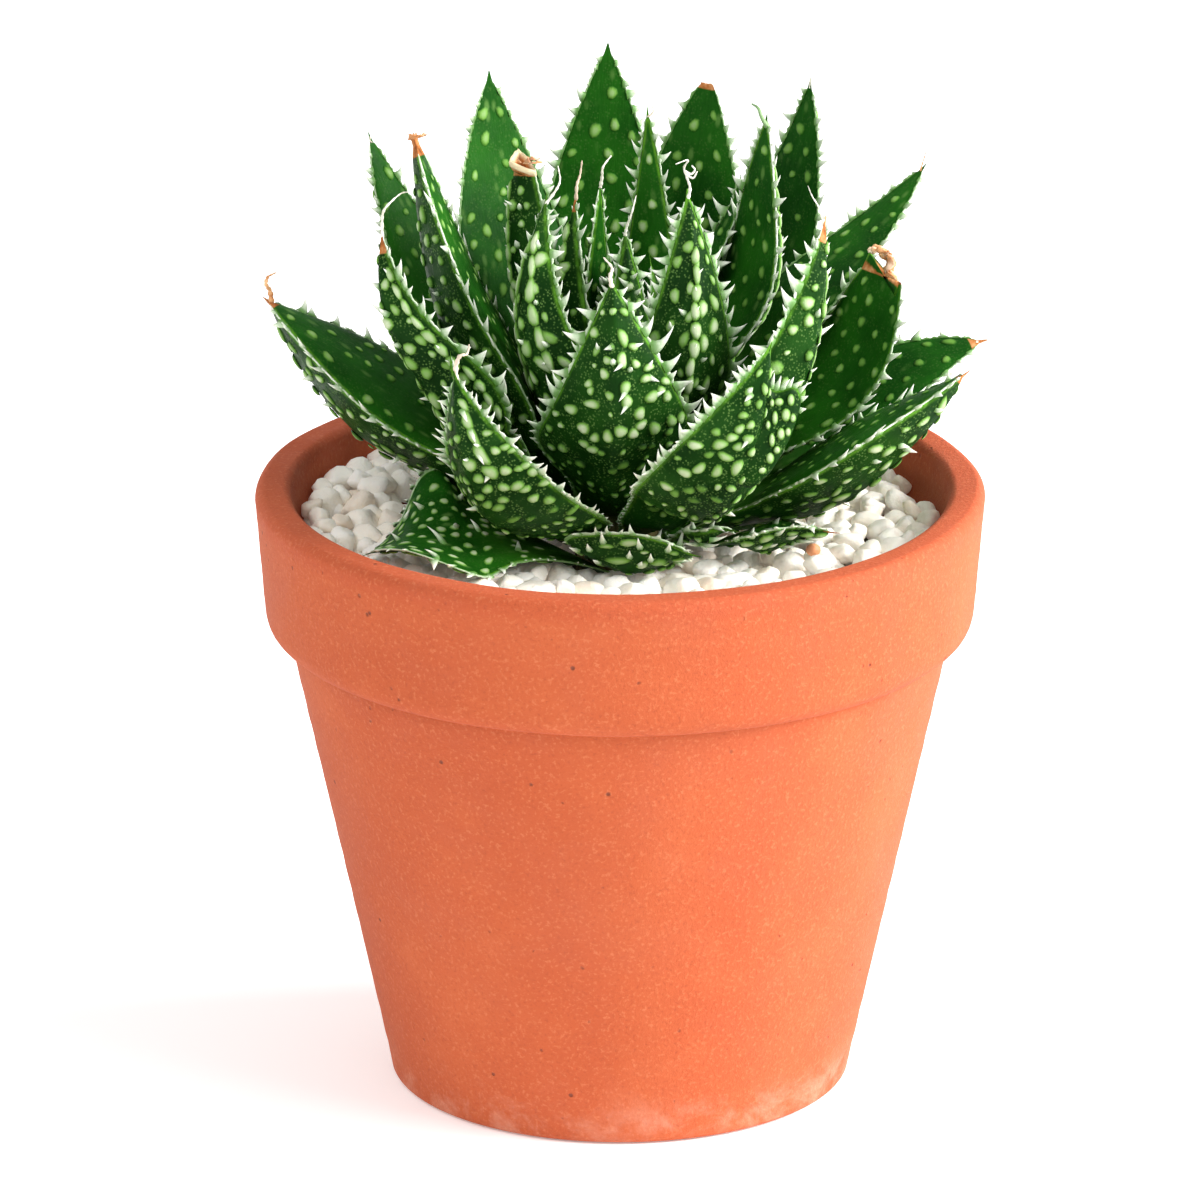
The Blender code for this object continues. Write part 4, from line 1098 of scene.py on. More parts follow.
# Defaults, then what differs. teeth: longest tooth and spacing, mm. out/inn: how
# thickly the raised spots stand on the outer and inner face, with their size, mm.
# chain: rows of merged spots (t from, t to, across from, across to, count, width).
PLAIN = dict(
    tone=0.0, teeth=2.9, step=2.5, hook=0.6, end=POINTED, dry=0.0, out=1.0, inn=0.35, size=1.85,
    tall=1.25, high=0.45, in_size=1.9, in_pale=0.55, chain=(), hooks=5, band=0.22, low_band=0.5, low=0.3, dim=0.0,
    slant=0.0, puff=1.0, bare=(), turn=0.0, pale=0.42, in_gap=1.0,
)
STYLE = {
    "front_centre": dict(pale=0.6, out=0.5, size=1.5, tall=1.1, hooks=3, teeth=2.7, step=2.4, band=0.22, low_band=0.45, low=0.25),
    "front_left": dict(pale=0.7, out=0.6, size=1.4, tall=1.2, hooks=3, teeth=2.3, step=1.9, band=0.42, low_band=0.6, low=0.3),
    "front_right": dict(pale=0.75, bare=(-1,), out=0.6, size=1.4, tall=1.3, hooks=2, teeth=2.2, step=1.15, band=0.32, low_band=0.55, low=0.35),
    "low_left": dict(turn=40.0, in_gap=0.72, inn=1.6, in_size=1.75, in_pale=1.0, teeth=1.9, hooks=4, low_band=0.5, tone=0.1),
    "low_front": dict(inn=0.5, in_size=1.4, in_pale=0.7, teeth=1.7, hooks=4, step=1.5, low_band=0.4, band=0.3),
    "low_right": dict(inn=0.3, in_size=1.3, teeth=1.9, hooks=4, step=1.4, end=BROWN_POINT, dry=0.8, low_band=0.3),
    "low_right_small": dict(teeth=1.3, hooks=3),
    "far_left": dict(pale=0.6, inn=0.35, out=0.9, teeth=2.2, tone=-0.2, hooks=6, size=1.6, tall=1.5, end=BROWN_POINT, dry=1.0),
    "left": dict(out=1.0, size=2.0, teeth=2.8, hooks=4, end=BROWN_POINT, dry=2.0, chain=((0.42, 0.90, -0.86, -0.70, 11, 1.35),)),
    "left_stump": dict(inn=0.9, in_size=1.6, in_pale=0.7, tone=0.1, turn=1.0, pale=0.75, band=0.5, low_band=0.6, end=STUMP, dry=0.6, teeth=2.3, chain=((0.30, 0.90, 0.80, 0.62, 12, 1.5),)),
    "back_left": dict(tone=0.1, teeth=2.0, dim=0.4, inn=0.8, in_size=2.0),
    "back_left_tall": dict(tone=0.1, inn=0.60, teeth=1.9, low=0.5, dim=0.45, in_size=2.1),
    "left_cut": dict(end=CUT_RING, dry=0.35, puff=1.3, slant=0.45, turn=-50.0, out=0.8, inn=0.6, teeth=2.2, hooks=6, chain=((0.45, 0.94, -0.05, 0.1, 8, 1.4),)),
    "centre_left": dict(out=0.95, teeth=2.5, size=2.0, tall=1.5, hooks=8, chain=((0.40, 0.90, -0.45, -0.25, 8, 1.7), (0.45, 0.86, 0.62, 0.60, 6, 1.5))),
    "inner_left": dict(teeth=2.1, end=BROWN_POINT, dry=1.6, chain=((0.35, 0.9, 0.0, 0.0, 8, 1.6),)),
    "inner_back": dict(teeth=1.6, out=0.2, inn=0.3),
    "back_top": dict(tone=0.05, inn=0.95, teeth=1.9, low=0.5, dim=0.45, in_size=2.15, in_pale=0.6),
    "back_cut": dict(tone=-0.05, inn=1.0, teeth=1.8, low=0.5, end=FLAT_CUT, dry=0.12, dim=0.45, in_size=2.1, in_pale=0.6),
    "inner_tall": dict(inn=0.6, out=0.6, teeth=2.0, in_pale=0.85, in_size=2.0),
    "centre_right": dict(step=1.9, out=0.95, teeth=2.5, size=1.8, tall=1.6, hooks=7, chain=((0.20, 0.86, 0.0, 0.0, 14, 2.0),)),
    "right_tall": dict(pale=0.85, band=0.55, low_band=0.75, out=0.55, inn=0.4, teeth=2.2, chain=((0.18, 0.86, 0.35, 0.25, 13, 1.9),)),
    "right_behind": dict(teeth=2.3, tone=0.1, dim=0.2),
    "back_right_tall": dict(inn=0.75, teeth=1.9, tone=0.0, dim=0.4, in_size=2.1, chain=((0.45, 0.92, 0.78, 0.55, 9, 1.7),)),
    "back_right": dict(inn=0.9, teeth=1.7, tone=-0.1, in_size=1.8, dim=0.4),
    "right_red_tip": dict(step=1.9, pale=0.6, out=0.8, hooks=4, teeth=2.9, end=BROWN_POINT, dry=2.4, size=2.0, chain=((0.5, 0.86, -0.80, -0.66, 6, 2.0),)),
    "right_torn": dict(inn=0.6, teeth=2.3, end=TORN, dry=0.06, tone=0.12, slant=-0.55),
    "far_right": dict(inn=0.5, teeth=1.7, dim=0.6, end=BROWN_POINT, dry=1.2, tone=-0.35, in_pale=0.45),
    "right_front": dict(pale=0.7, band=0.35, out=1.0, inn=0.8, teeth=2.3, size=1.45, tall=2.0, end=BROWN_POINT, dry=0.9, hooks=8, in_size=1.5),
    "heart_front": dict(teeth=1.8, out=0.4, size=1.2),
    "heart_right": dict(teeth=1.6, out=0.3, size=1.2),
    "heart_left": dict(teeth=1.3, out=0.2, size=1.0),
    "heart_back": dict(teeth=1.3, out=0.2, size=1.0),
    "left_front_small": dict(teeth=1.5, out=0.3, size=1.2, low_band=0.8),
    "low_front_small": dict(teeth=2.3, out=0.3, size=1.2, hooks=2),
}

# Raised spots placed on the front leaves: picture x, y, then width and height
# in picture units, and how pale.
SPOTS = {
    "front_centre": (
        (622, 337, 8, 17, 0.9), (612, 346, 5, 5, 0.6), (633, 348, 8, 8, 0.9), (623, 360, 9, 13, 1), (607, 362, 8, 8, 1),
        (605, 375, 9, 9, 1), (636, 364, 8, 8, 0.95), (648, 367, 9, 7, 0.95), (647, 379, 10, 8, 1), (664, 381, 6, 10, 0.9),
        (589, 382, 8, 8, 0.8), (590, 390, 7, 8, 0.8), (624, 387, 9, 12, 1), (594, 403, 14, 9, 1), (609, 396, 9, 7, 0.8),
        (573, 409, 11, 11, 1), (626, 401, 10, 12, 1), (653, 396, 13, 10, 0.95), (660, 391, 7, 8, 0.9), (638, 413, 11, 11, 1),
        (642, 424, 11, 9, 1), (634, 434, 10, 10, 1), (620, 432, 12, 11, 1), (607, 435, 10, 12, 1), (597, 437, 9, 10, 0.85),
        (584, 427, 11, 12, 1), (656, 429, 10, 14, 0.95), (669, 421, 8, 14, 0.85), (681, 418, 7, 13, 0.85),
        (585, 444, 10, 9, 1), (592, 450, 11, 9, 1), (564, 448, 10, 10, 0.8), (580, 463, 9, 9, 0.45), (623, 465, 12, 9, 0.4),
        (612, 471, 10, 8, 0.35), (670, 432, 8, 8, 0.5), (600, 452, 7, 7, 0.5), (640, 448, 8, 7, 0.3), (652, 445, 7, 6, 0.3),
    ),
    "front_left": (
        (463, 404, 6, 13, 0.95), (467, 419, 8, 18, 1), (474, 435, 8, 18, 1), (481, 453, 10, 20, 1), (489, 471, 11, 16, 1), (451, 426, 8, 9, 0.85),
        (458, 439, 9, 8, 0.8), (447, 451, 9, 9, 0.8), (456, 455, 7, 8, 0.75), (469, 466, 12, 12, 0.9), (455, 466, 8, 9, 0.7),
        (487, 434, 7, 7, 0.8), (496, 451, 8, 8, 0.85), (504, 448, 7, 7, 0.7), (513, 449, 7, 6, 0.7), (506, 469, 10, 9, 0.95),
        (526, 464, 10, 7, 0.8), (519, 467, 7, 6, 0.7), (534, 472, 9, 9, 0.9), (545, 482, 9, 8, 0.9), (503, 487, 9, 10, 0.9),
        (516, 486, 13, 8, 0.9), (525, 490, 9, 8, 0.9), (533, 499, 10, 8, 0.9), (503, 498, 9, 8, 0.7), (550, 498, 9, 9, 0.7),
        (572, 509, 11, 7, 0.5), (552, 511, 9, 7, 0.4), (531, 517, 9, 6, 0.4), (514, 518, 13, 7, 0.5), (497, 508, 12, 8, 0.6),
        (487, 489, 9, 9, 0.8), (478, 480, 10, 9, 0.8), (467, 481, 9, 8, 0.7), (489, 503, 10, 8, 0.6), (480, 496, 9, 8, 0.6),
    ),
    "front_right": (
        (695, 446, 10, 9, 1), (720, 445, 12, 10, 0.95), (716, 431, 8, 7, 0.6), (748, 437, 9, 9, 0.95), (739, 427, 8, 9, 0.8),
        (733, 436, 9, 9, 0.9), (751, 451, 9, 9, 1), (737, 446, 9, 8, 0.8), (725, 457, 13, 8, 0.9), (716, 470, 9, 12, 0.9),
        (736, 467, 9, 16, 1), (744, 478, 13, 10, 1), (700, 467, 9, 12, 0.9), (683, 471, 11, 9, 1), (666, 485, 11, 8, 1),
        (676, 493, 9, 8, 0.55), (688, 489, 10, 8, 0.5), (731, 487, 10, 7, 0.9), (759, 460, 8, 12, 0.95), (763, 473, 8, 10, 0.9),
        (751, 489, 13, 8, 0.95), (737, 498, 13, 7, 0.9), (653, 509, 11, 7, 0.35), (670, 512, 12, 6, 0.3), (716, 499, 11, 6, 0.4),
        (748, 390, 6, 8, 0.7), (747, 403, 6, 8, 0.7), (742, 416, 8, 7, 0.7), (752, 424, 7, 8, 0.8), (709, 456, 8, 7, 0.5),
        (765, 437, 7, 14, 0.9), (767, 452, 7, 12, 0.9), (772, 418, 6, 11, 0.8), (700, 487, 11, 7, 0.4), (693, 500, 12, 7, 0.35),
    ),
}
# Curved white spines on the front leaves: picture x, y of the foot, then of the point.
HOOKS = {
    "front_centre": (
        ((622, 362), (611, 369)), ((624, 392), (616, 398)), ((627, 404), (618, 411)), ((633, 346), (642, 344)),
        ((650, 368), (652, 362)), ((648, 379), (658, 381)), ((655, 396), (664, 392)), ((612, 345), (606, 349)),
    ),
    "front_left": (((471, 430), (476, 440)), ((463, 410), (468, 420)), ((478, 452), (484, 462)), ((489, 474), (486, 480))),
    "front_right": (((750, 395), (744, 400)), ((760, 455), (768, 449)), ((748, 440), (741, 446))),
    "low_front": (
        ((590, 549), (590, 539)), ((603, 541), (604, 526)), ((612, 556), (611, 545)), ((622, 545), (623, 529)),
        ((630, 557), (631, 544)), ((640, 547), (640, 531)), ((650, 560), (652, 546)), ((657, 545), (658, 529)),
        ((668, 551), (670, 536)), ((680, 547), (683, 532)), ((662, 562), (664, 551)), ((575, 552), (573, 543)),
        ((641, 566), (642, 556)), ((598, 562), (597, 553)),
    ),
    "low_left": (((443, 541), (443, 523)), ((436, 556), (437, 545)), ((520, 550), (521, 538)), ((405, 520), (404, 510)), ((478, 530), (480, 519))),
    "low_right": (
        ((766, 531), (768, 519)), ((778, 534), (781, 521)), ((789, 538), (792, 525)), ((800, 541), (804, 528)),
        ((811, 545), (815, 533)), ((785, 549), (788, 538)), ((770, 545), (772, 534)), ((752, 536), (753, 525)),
        ((797, 553), (800, 543)), ((758, 548), (759, 538)),
    ),
    "low_front_small": (((694, 548), (697, 531)), ((705, 546), (709, 528)), ((716, 545), (721, 530)), ((701, 555), (706, 543))),
}
# Dried threads at the tips: picture points, from the tip outwards, and the thickness.
THREADS = {
    "far_left": (((274, 300), (270, 291), (266, 284), (268, 277), (275, 273)), 0.50, 1.0),
    "front_centre": (((614, 288), (610, 277), (612, 268), (604, 258)), 0.42, 0.3),
    "front_left": (((459, 380), (456, 366), (460, 356), (467, 354), (469, 345)), 0.45, 0.4),
    "centre_right": (((689, 203), (690, 188), (687, 178), (684, 168), (688, 160), (676, 164)), 0.28, 0.0),
    "centre_left": (((549, 200), (556, 190), (560, 180), (558, 166)), 0.26, 0.0),
    "left": (((384, 232), (382, 222), (384, 210), (393, 200), (402, 193), (410, 192)), 0.27, 0.0),
    "back_left": (((371, 150), (370, 140), (371, 131)), 0.16, 0.3),
    "inner_left": (((576, 196), (577, 185), (580, 175), (582, 161)), 0.30, 0.5),
    "inner_back": (((600, 186), (602, 177), (603, 167), (611, 156)), 0.30, 0.1),
    "heart_front": (((624, 240), (627, 226), (632, 212), (636, 196)), 0.26, 0.0),
    "back_right_tall": (((810, 92), (810, 82), (810, 72)), 0.13, 0.0),
    "back_right": (((920, 172), (922, 165), (926, 152)), 0.16, 0.9),
    "right_red_tip": (((822, 222), (819, 208), (812, 196), (808, 186)), 0.20, 0.0),
    "right_tall": (((772, 140), (768, 128), (762, 118), (758, 108), (752, 104)), 0.55, -1.0),
    "far_right": (((960, 364), (963, 352), (970, 344), (980, 341)), 0.22, 0.0),
    "inner_tall": (((655, 120), (653, 112), (652, 104)), 0.2, 0.3),
}


def torn_edge(build, blade, tip):
    """Dried, papery strips left along a torn leaf end."""
    rand = blade.rand
    edge = ((872, 249), (880, 250), (885, 254), (890, 262), (888, 270), (891, 278), (896, 286), (894, 296), (890, 305), (883, 311))
    for k in range(6):
        shift = rand.uniform(-2.6, 2.2), rand.uniform(-1.8, 1.8)
        first = rand.choice((0, 0, 1, 2, 3))
        last = len(edge) - rand.choice((0, 0, 1, 2))
        places = [
            VIEW.reach(x + shift[0] + rand.uniform(-1.5, 1.5), y + shift[1] + rand.uniform(-1.5, 1.5), tip[1] - 0.9 + 0.35 * k + rand.uniform(-0.5, 0.5))
            for x, y in edge[first:last]
        ]
        path = curve_through(places, 44)
        ripple = np.abs(np.sin(np.arange(44) * rand.uniform(0.25, 0.6) + rand.uniform(0, 6))) * 0.50 + 0.15
        ripple = ripple + np.array([rand.uniform(-0.1, 0.18) for _ in range(44)])
        dry = np.clip(0.95 + 0.35 * np.sin(np.arange(44) * 0.33 + rand.uniform(0, 6)), 0.35, 1.0)
        tube(build, path, np.clip(ripple, 0.08, 0.95), 2, 6, dry, 1.0, 0.22)
    for _ in range(8):
        x, y = edge[rand.randint(1, len(edge) - 1)]
        foot = VIEW.reach(x - 1, y, tip[1] - 0.5)
        out = unit(np.array([rand.uniform(0.1, 1.0), rand.uniform(-0.8, 0.3), rand.uniform(-0.4, 0.9)]))
        along = unit(np.cross(out, [0.2, 1.0, 0.1]))
        horn(build, foot, out, along, np.cross(along, out), rand.uniform(0.7, 1.7), rand.uniform(0.5, 1.2), 0.2,
             rand.uniform(-0.6, 0.6), rand.uniform(-0.4, 0.4), slot=2, dry=rand.uniform(0.5, 1.0))


# The half of the right front leaf that is folded back beyond its keel: its outline and
# its spots by picture place, then the foot and point of each tooth along its top.
FOLD_LINE = (
    (763, 366), (767, 380), (772, 389), (781, 390), (790, 387), (797, 388), (801, 396), (800, 408), (796, 422), (791, 436),
    (784, 450), (776, 464), (766, 477), (750, 488), (738, 480), (738, 450), (745, 415), (755, 385),
)
FOLD_SPOTS = (
    (779, 402, 9, 8), (791, 400, 7, 12), (786, 415, 9, 13), (775, 418, 6, 14), (793, 418, 6, 9), (781, 434, 8, 12),
    (772, 440, 6, 14), (788, 432, 6, 9), (770, 458, 8, 12), (777, 450, 7, 8), (762, 470, 9, 8), (768, 425, 5, 9), (772, 403, 5, 8),
)
FOLD_TEETH = (
    ((766, 376), (774, 371)), ((771, 386), (775, 374)), ((776, 388), (782, 377)), ((782, 389), (787, 379)), ((788, 387), (794, 378)),
    ((794, 387), (801, 379)), ((799, 391), (808, 386)), ((801, 399), (808, 397)), ((800, 410), (806, 409)),
)


def folded_half(build, blade):
    t, a, outer = blade.find(762, 430)
    front = float(blade.at(np.array([t]), np.array([a]), outer)[0][1])
    line = np.array(FOLD_LINE, float)
    count = 60
    ring = curve_through(np.vstack([line, line[:1]]), count + 1)[:-1]
    middle = np.array([776.0, 425.0])

    def depth(p, swell):
        return front + 1.2 + 0.05 * (p[:, 0] - 762.0) - swell

    rings, edges, spots = [], [], []
    for scale, swell, sign in (
        (0.25, 1.75, 1), (0.5, 1.55, 1), (0.72, 1.2, 1), (0.88, 0.75, 1), (0.97, 0.35, 1), (1.0, 0.0, 1),
        (0.97, -0.35, 1), (0.88, -0.7, 1), (0.72, -1.0, 1), (0.4, -1.2, 1),
    ):
        flat = middle + (ring - middle) * scale
        deep = depth(flat, swell)
        rings.append(np.array([VIEW.reach(x, y, d) for (x, y), d in zip(flat, deep)]))
        edges.append(np.full(count, (1 - scale) * 4.5 + 0.12))
    points = np.concatenate(rings)
    centre = [VIEW.reach(*middle, float(depth(middle[None], s)[0])) for s in (1.8, -1.25)]
    n = len(rings)
    faces = loft_faces(n, count, first=n * count, last=n * count + 1)
    points = np.vstack([points, centre])
    edges = np.concatenate(edges + [np.full(2, 4.0)])
    shown = np.tile(np.concatenate([ring[:, 1] + 0.4 * (ring[:, 0] - 800.0)]), n)
    edges = edges + np.concatenate([4.0 * smooth(396.0, 420.0, shown), np.zeros(2)])
    flat = np.stack([points[:, 0], points[:, 2], np.full(len(points), 900.0)], axis=1)
    build.add(points, faces, 0, flat=flat, lf_in=0.0, lf_t=0.8, lf_edge=edges, lf_tone=0.02)
    reach = np.abs(ring - middle).max()
    for x, y, w, h in FOLD_SPOTS:
        sides = 11
        ang = 2 * np.pi * np.arange(sides) / sides
        pts, pale = [], []
        away = float(np.linalg.norm(np.array([x, y]) - middle) / reach)
        swell = 1.8 * (1 - away**2) + 0.25
        for r, spot, rise in DOME:
            flat = np.stack([x + r * np.cos(ang) * w / 1.75, y + r * np.sin(ang) * h / 1.75], axis=1)
            deep = depth(flat, swell - 0.25 + 0.5 * rise)
            pts.append(np.array([VIEW.reach(u, v, d) for (u, v), d in zip(flat, deep)]))
            pale += [spot] * sides
        pts.append(VIEW.reach(x, y, float(depth(np.array([[x, y]]), swell + 0.25)[0]))[None])
        pale.append(1.0)
        pts = np.concatenate(pts)
        build.add(pts, loft_faces(len(DOME), sides, last=len(pts) - 1), 0, flat=np.stack([pts[:, 0], pts[:, 2], np.full(len(pts), 950.0)], axis=1),
                  lf_t=0.8, lf_edge=3.0, lf_spot=np.array(pale), lf_tone=0.02)
    for foot, point in FOLD_TEETH:
        p = VIEW.reach(*foot, float(depth(np.array([foot], float), 0.0)[0]))
        q = VIEW.reach(*point, float(p[1]) - 0.3)
        out = unit(q - p)
        along = unit(np.cross(out, [0.0, 1.0, 0.0]))
        horn(build, p, out, along, np.cross(along, out), float(np.linalg.norm(q - p)) * 1.1, 1.05, 0.55, blade.rand.uniform(-0.3, 0.3), 0.0)


def dress(blade, mats):
    """The detailed leaf: body, raised spots, fringe, teeth, spines, tip."""
    style = dict(PLAIN)
    style.update(STYLE.get(blade.name, {}))
    rand = blade.rand
    build = Build()
    tone = style["tone"] + rand.uniform(-0.06, 0.06)
    hidden = blade.name.startswith("hidden")
    blade_skin(build, blade, tone, style["dry"], style["end"], style["dim"], style["slant"], style["puff"])

    def band(t):
        low = float(1 - smooth(0.28, 0.62, np.array(t)))
        return style["band"] * (1 - low) + style["low_band"] * low

    top = 0.985 if style["end"] in (POINTED, BROWN_POINT) else 0.95
    for sign in (-1, 1):
        if style["bare"] and style["bare"][0] == sign:
            continue
        toothed_margin(
            build, blade, sign, 0.12, top, style["teeth"], style["step"], band, tone, style["hook"], style["low"],
            style["pale"] - 0.5 * style["dim"],
        )

    # raised spots on both faces
    def keep(t, a, amount):
        fade = float(smooth(0.14, 0.42, np.array(t)))
        wave = 0.5 + 0.5 * math.sin(9.0 * t + 3.0 * a + hash_of(blade.name))
        return amount * (0.25 + 0.75 * fade) * (0.6 + 0.4 * wave)

    size = style["size"]
    placed = []
    for x, y, w, h, pale in SPOTS.get(blade.name, ()):
        t, a, outer = blade.find(x, y)
        placed.append((float(blade.mm_at(t)), a * float(blade.width(t)[0]) / 2, max(w, h) / 9.0))
    if style["out"]:
        for t, a in scatter(blade, 0.1, 0.95, size * 1.12, size * style["tall"] * 1.08, size * 0.62, lambda t, a: keep(t, a, style["out"])):
            here = float(blade.mm_at(t)), a * float(blade.width(t)[0]) / 2
            if any(math.hypot(here[0] - m, here[1] - u) < size * 0.55 + r for m, u, r in placed):
                continue
            fade = float(smooth(0.05, 0.4, np.array(t)))
            wide = size * rand.uniform(0.5, 1.15) * (0.75 + 0.25 * fade)
            bump(build, blade, t, a, True, wide, wide * style["tall"] * rand.uniform(0.9, 1.3), style["high"] * wide / 1.75,
                 (0.35 + 0.65 * fade) * rand.uniform(0.55, 1.0), rand.uniform(-0.35, 0.35), tone, 9)
    if style["inn"]:
        size = style["in_size"]
        for t, a in scatter(blade, 0.2, 0.96, size * 1.5 * style["in_gap"], size * 1.9 * style["in_gap"], size * 0.65, lambda t, a: keep(t, a, style["inn"]), 420):
            wide = size * rand.uniform(0.7, 1.1)
            bump(build, blade, t, a, False, wide, wide * rand.uniform(1.0, 1.35), 0.20 * wide / 1.75,
                 style["in_pale"] * rand.uniform(0.75, 1.1), rand.uniform(-0.3, 0.3), tone, 9)
    for lo, hi, a0, a1, count, wide in style["chain"]:
        here = np.linspace(float(blade.mm_at(lo)), float(blade.mm_at(hi)), count)
        pitch = here[1] - here[0]
        for k, mm in enumerate(here):
            t = float(blade.t_at(mm))
            u = k / (count - 1)
            a = a0 + (a1 - a0) * u + rand.uniform(-0.03, 0.03)
            swell = wide * (0.72 + 0.28 * math.sin(math.pi * min(1.0, u * 1.15))) * rand.uniform(0.85, 1.12)
            swell = min(swell, float(blade.width(t)[0]) * 0.55)
            bump(build, blade, t, a, True, swell, pitch * rand.uniform(1.08, 1.3), 0.62, 0.95, 0.0, tone, 10)
            if u > 0.2 and rand.random() < 0.42:
                spine(build, blade, t, a, True, rand.uniform(1.0, 1.7), 0.8, (rand.uniform(-0.9, 0.9), 0.8), 0.45, tone)
    for x, y, w, h, pale in SPOTS.get(blade.name, ()):
        t, a, outer = blade.find(x, y)
        lean = rand.uniform(-0.25, 0.25)
        bump(build, blade, t, a, outer, w / 4.9, h / 4.9, 0.24 + 0.03 * min(w, h), pale * rand.uniform(0.8, 1.0), lean, tone, 12)
    for foot, point in HOOKS.get(blade.name, ()):
        t, a, outer = blade.find(*foot)
        p = blade.at(np.array([t]), np.array([a]), outer)[0]
        n = blade.normal(np.array([t]), np.array([a]), outer)[0]
        q = VIEW.reach(point[0], point[1], p[1])
        way = unit((q - p) - n * ((q - p) @ n))
        long = max(1.4, float(np.linalg.norm(q - p)) * 1.15)
        out = unit(way * 0.75 + n * 0.6)
        along = unit(n - out * (n @ out)) * -1
        horn(build, p - n * 0.05, out, np.cross(out, along), along, long, 1.15, 0.9, 0.0, 0.32, tone=tone)
    for _ in range(style["hooks"]):
        t, a = rand.uniform(0.35, 0.9), rand.uniform(-0.6, 0.6)
        outer = not blade.name.startswith("low")
        spine(build, blade, t, a, outer, rand.uniform(1.1, 2.1), rand.uniform(0.8, 1.2), (rand.uniform(-0.7, 0.7), 0.7), rand.uniform(0.1, 0.45), tone)

    tip = blade.at(np.array([1.0]), np.array([0.0]), False)[0]
    if blade.name in THREADS:
        places, thick, dry = THREADS[blade.name]
        count = 5 * len(places)
        path = []
        for k, (x, y) in enumerate(places):
            depth = tip[1] + 0.5 * k * math.sin(1.7 * k + hash_of(blade.name) % 5)
            path.append(VIEW.reach(x, y, depth))
        path[0] = tip
        path = curve_through(path, count)
        fade = np.linspace(1.0, 0.35, count)
        bumps = 1 + 0.25 * np.sin(np.arange(count) * 1.9 + tip[0])
        if dry < 0:
            tube(build, path, thick * np.linspace(1.0, 0.3, count), 1, 7, 0.0, 0.12)
        else:
            tube(build, path, thick * fade * bumps, 2, 6, dry, 1.0, 0.7)
    if blade.name == "centre_right":
        for places in (((685, 171), (691, 174), (695, 170), (692, 166)), ((686, 174), (693, 178), (697, 172))):
            tube(build, curve_through([VIEW.reach(x, y, tip[1] - 0.6) for x, y in places], 12), np.linspace(0.24, 0.12, 12), 2, 5, 0.0)
    if blade.name == "right_torn":
        torn_edge(build, blade, tip)
    if blade.name == "front_right":
        folded_half(build, blade)
    if style["end"] in (CUT_RING, STUMP):
        tan = unit(leaf_frame(blade.row, np.array([1.0]), blade.shift)[1][0])
        side = leaf_frame(blade.row, np.array([1.0]), blade.shift)[2][0]
        face = np.cross(side, tan)
        wide = float(blade.width(1.0)[0])
        shards = 11 if style["end"] is CUT_RING else 7
        for k in range(shards):
            turn = 2 * math.pi * (k + rand.uniform(-0.3, 0.3)) / shards
            ring = side * math.cos(turn) * wide / 2 + face * math.sin(turn) * wide * 0.22
            rise = 1.6 if style["end"] is CUT_RING else 2.4
            out = unit(tan * 0.6 + unit(ring) * rand.uniform(0.2, 1.0))
            along = unit(np.cross(out, ring + 1e-3))
            horn(build, tip + ring * 1.05 + tan * rise, out, along, np.cross(along, out), rand.uniform(0.4, 1.1),
                 rand.uniform(1.0, 1.9), 0.28, rand.uniform(-0.3, 0.3), rand.uniform(-0.5, 0.3), slot=2, dry=rand.uniform(0.5, 1.0))
    piece = build.piece("aloe_" + blade.name, mats)
    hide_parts("leaf_" + blade.name)
    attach(piece, "root")
    return piece


# ---- pot ------------------------------------------------------------------------------
def pot_outline():
    """The pot's section, drawn finely: foot, body, collar, lip, inside, floor, drain hole."""
    neck = POT_H - COLLAR_H
    low = COLLAR_LOW_R - COLLAR_EDGE
    corners = [(DRAIN_R, 0.15), (DRAIN_R + 0.4, 0.0)]
    corners += arc(FOOT_R - 1.2, 1.2, 1.2, -90.0, -4.0, 7)
    corners += [(NECK_R, neck - 0.3)]
    corners += arc(NECK_R + 0.35, neck + 0.05, 0.35, 180.0, 100.0, 4)
    corners += arc(low, neck + COLLAR_EDGE * 0.9, COLLAR_EDGE, -62.0, 0.0, 9)
    corners += [(RIM_R, POT_H - LIP)]
    corners += arc(RIM_R - LIP, POT_H - LIP, LIP, 12.0, 90.0, 9)
    inside = RIM_R - WALL_RIM
    corners += arc(inside + LIP, POT_H - LIP, LIP, 90.0, 180.0, 9)
    for z in np.linspace(neck + 20.0, neck, 9):
        corners.append((float(wall_in(float(z))), float(z)))
    corners += [(float(wall_in(FLOOR + 3.0)), FLOOR + 3.0), (float(wall_in(FLOOR)) - 1.2, FLOOR + 0.6), (float(wall_in(FLOOR)) - 3.0, FLOOR)]
    corners += [(DRAIN_R + 0.5, FLOOR), (DRAIN_R, FLOOR - 0.5)]
    fine = []
    for (r0, z0), (r1, z1) in zip(corners, corners[1:] + corners[:1]):
        run = math.hypot(r1 - r0, z1 - z0)
        cuts = max(1, int(math.ceil(run / (1.5 if z0 > 20 else 2.0))))
        fine += [(r0 + (r1 - r0) * k / cuts, z0 + (z1 - z0) * k / cuts) for k in range(cuts)]
    return fine


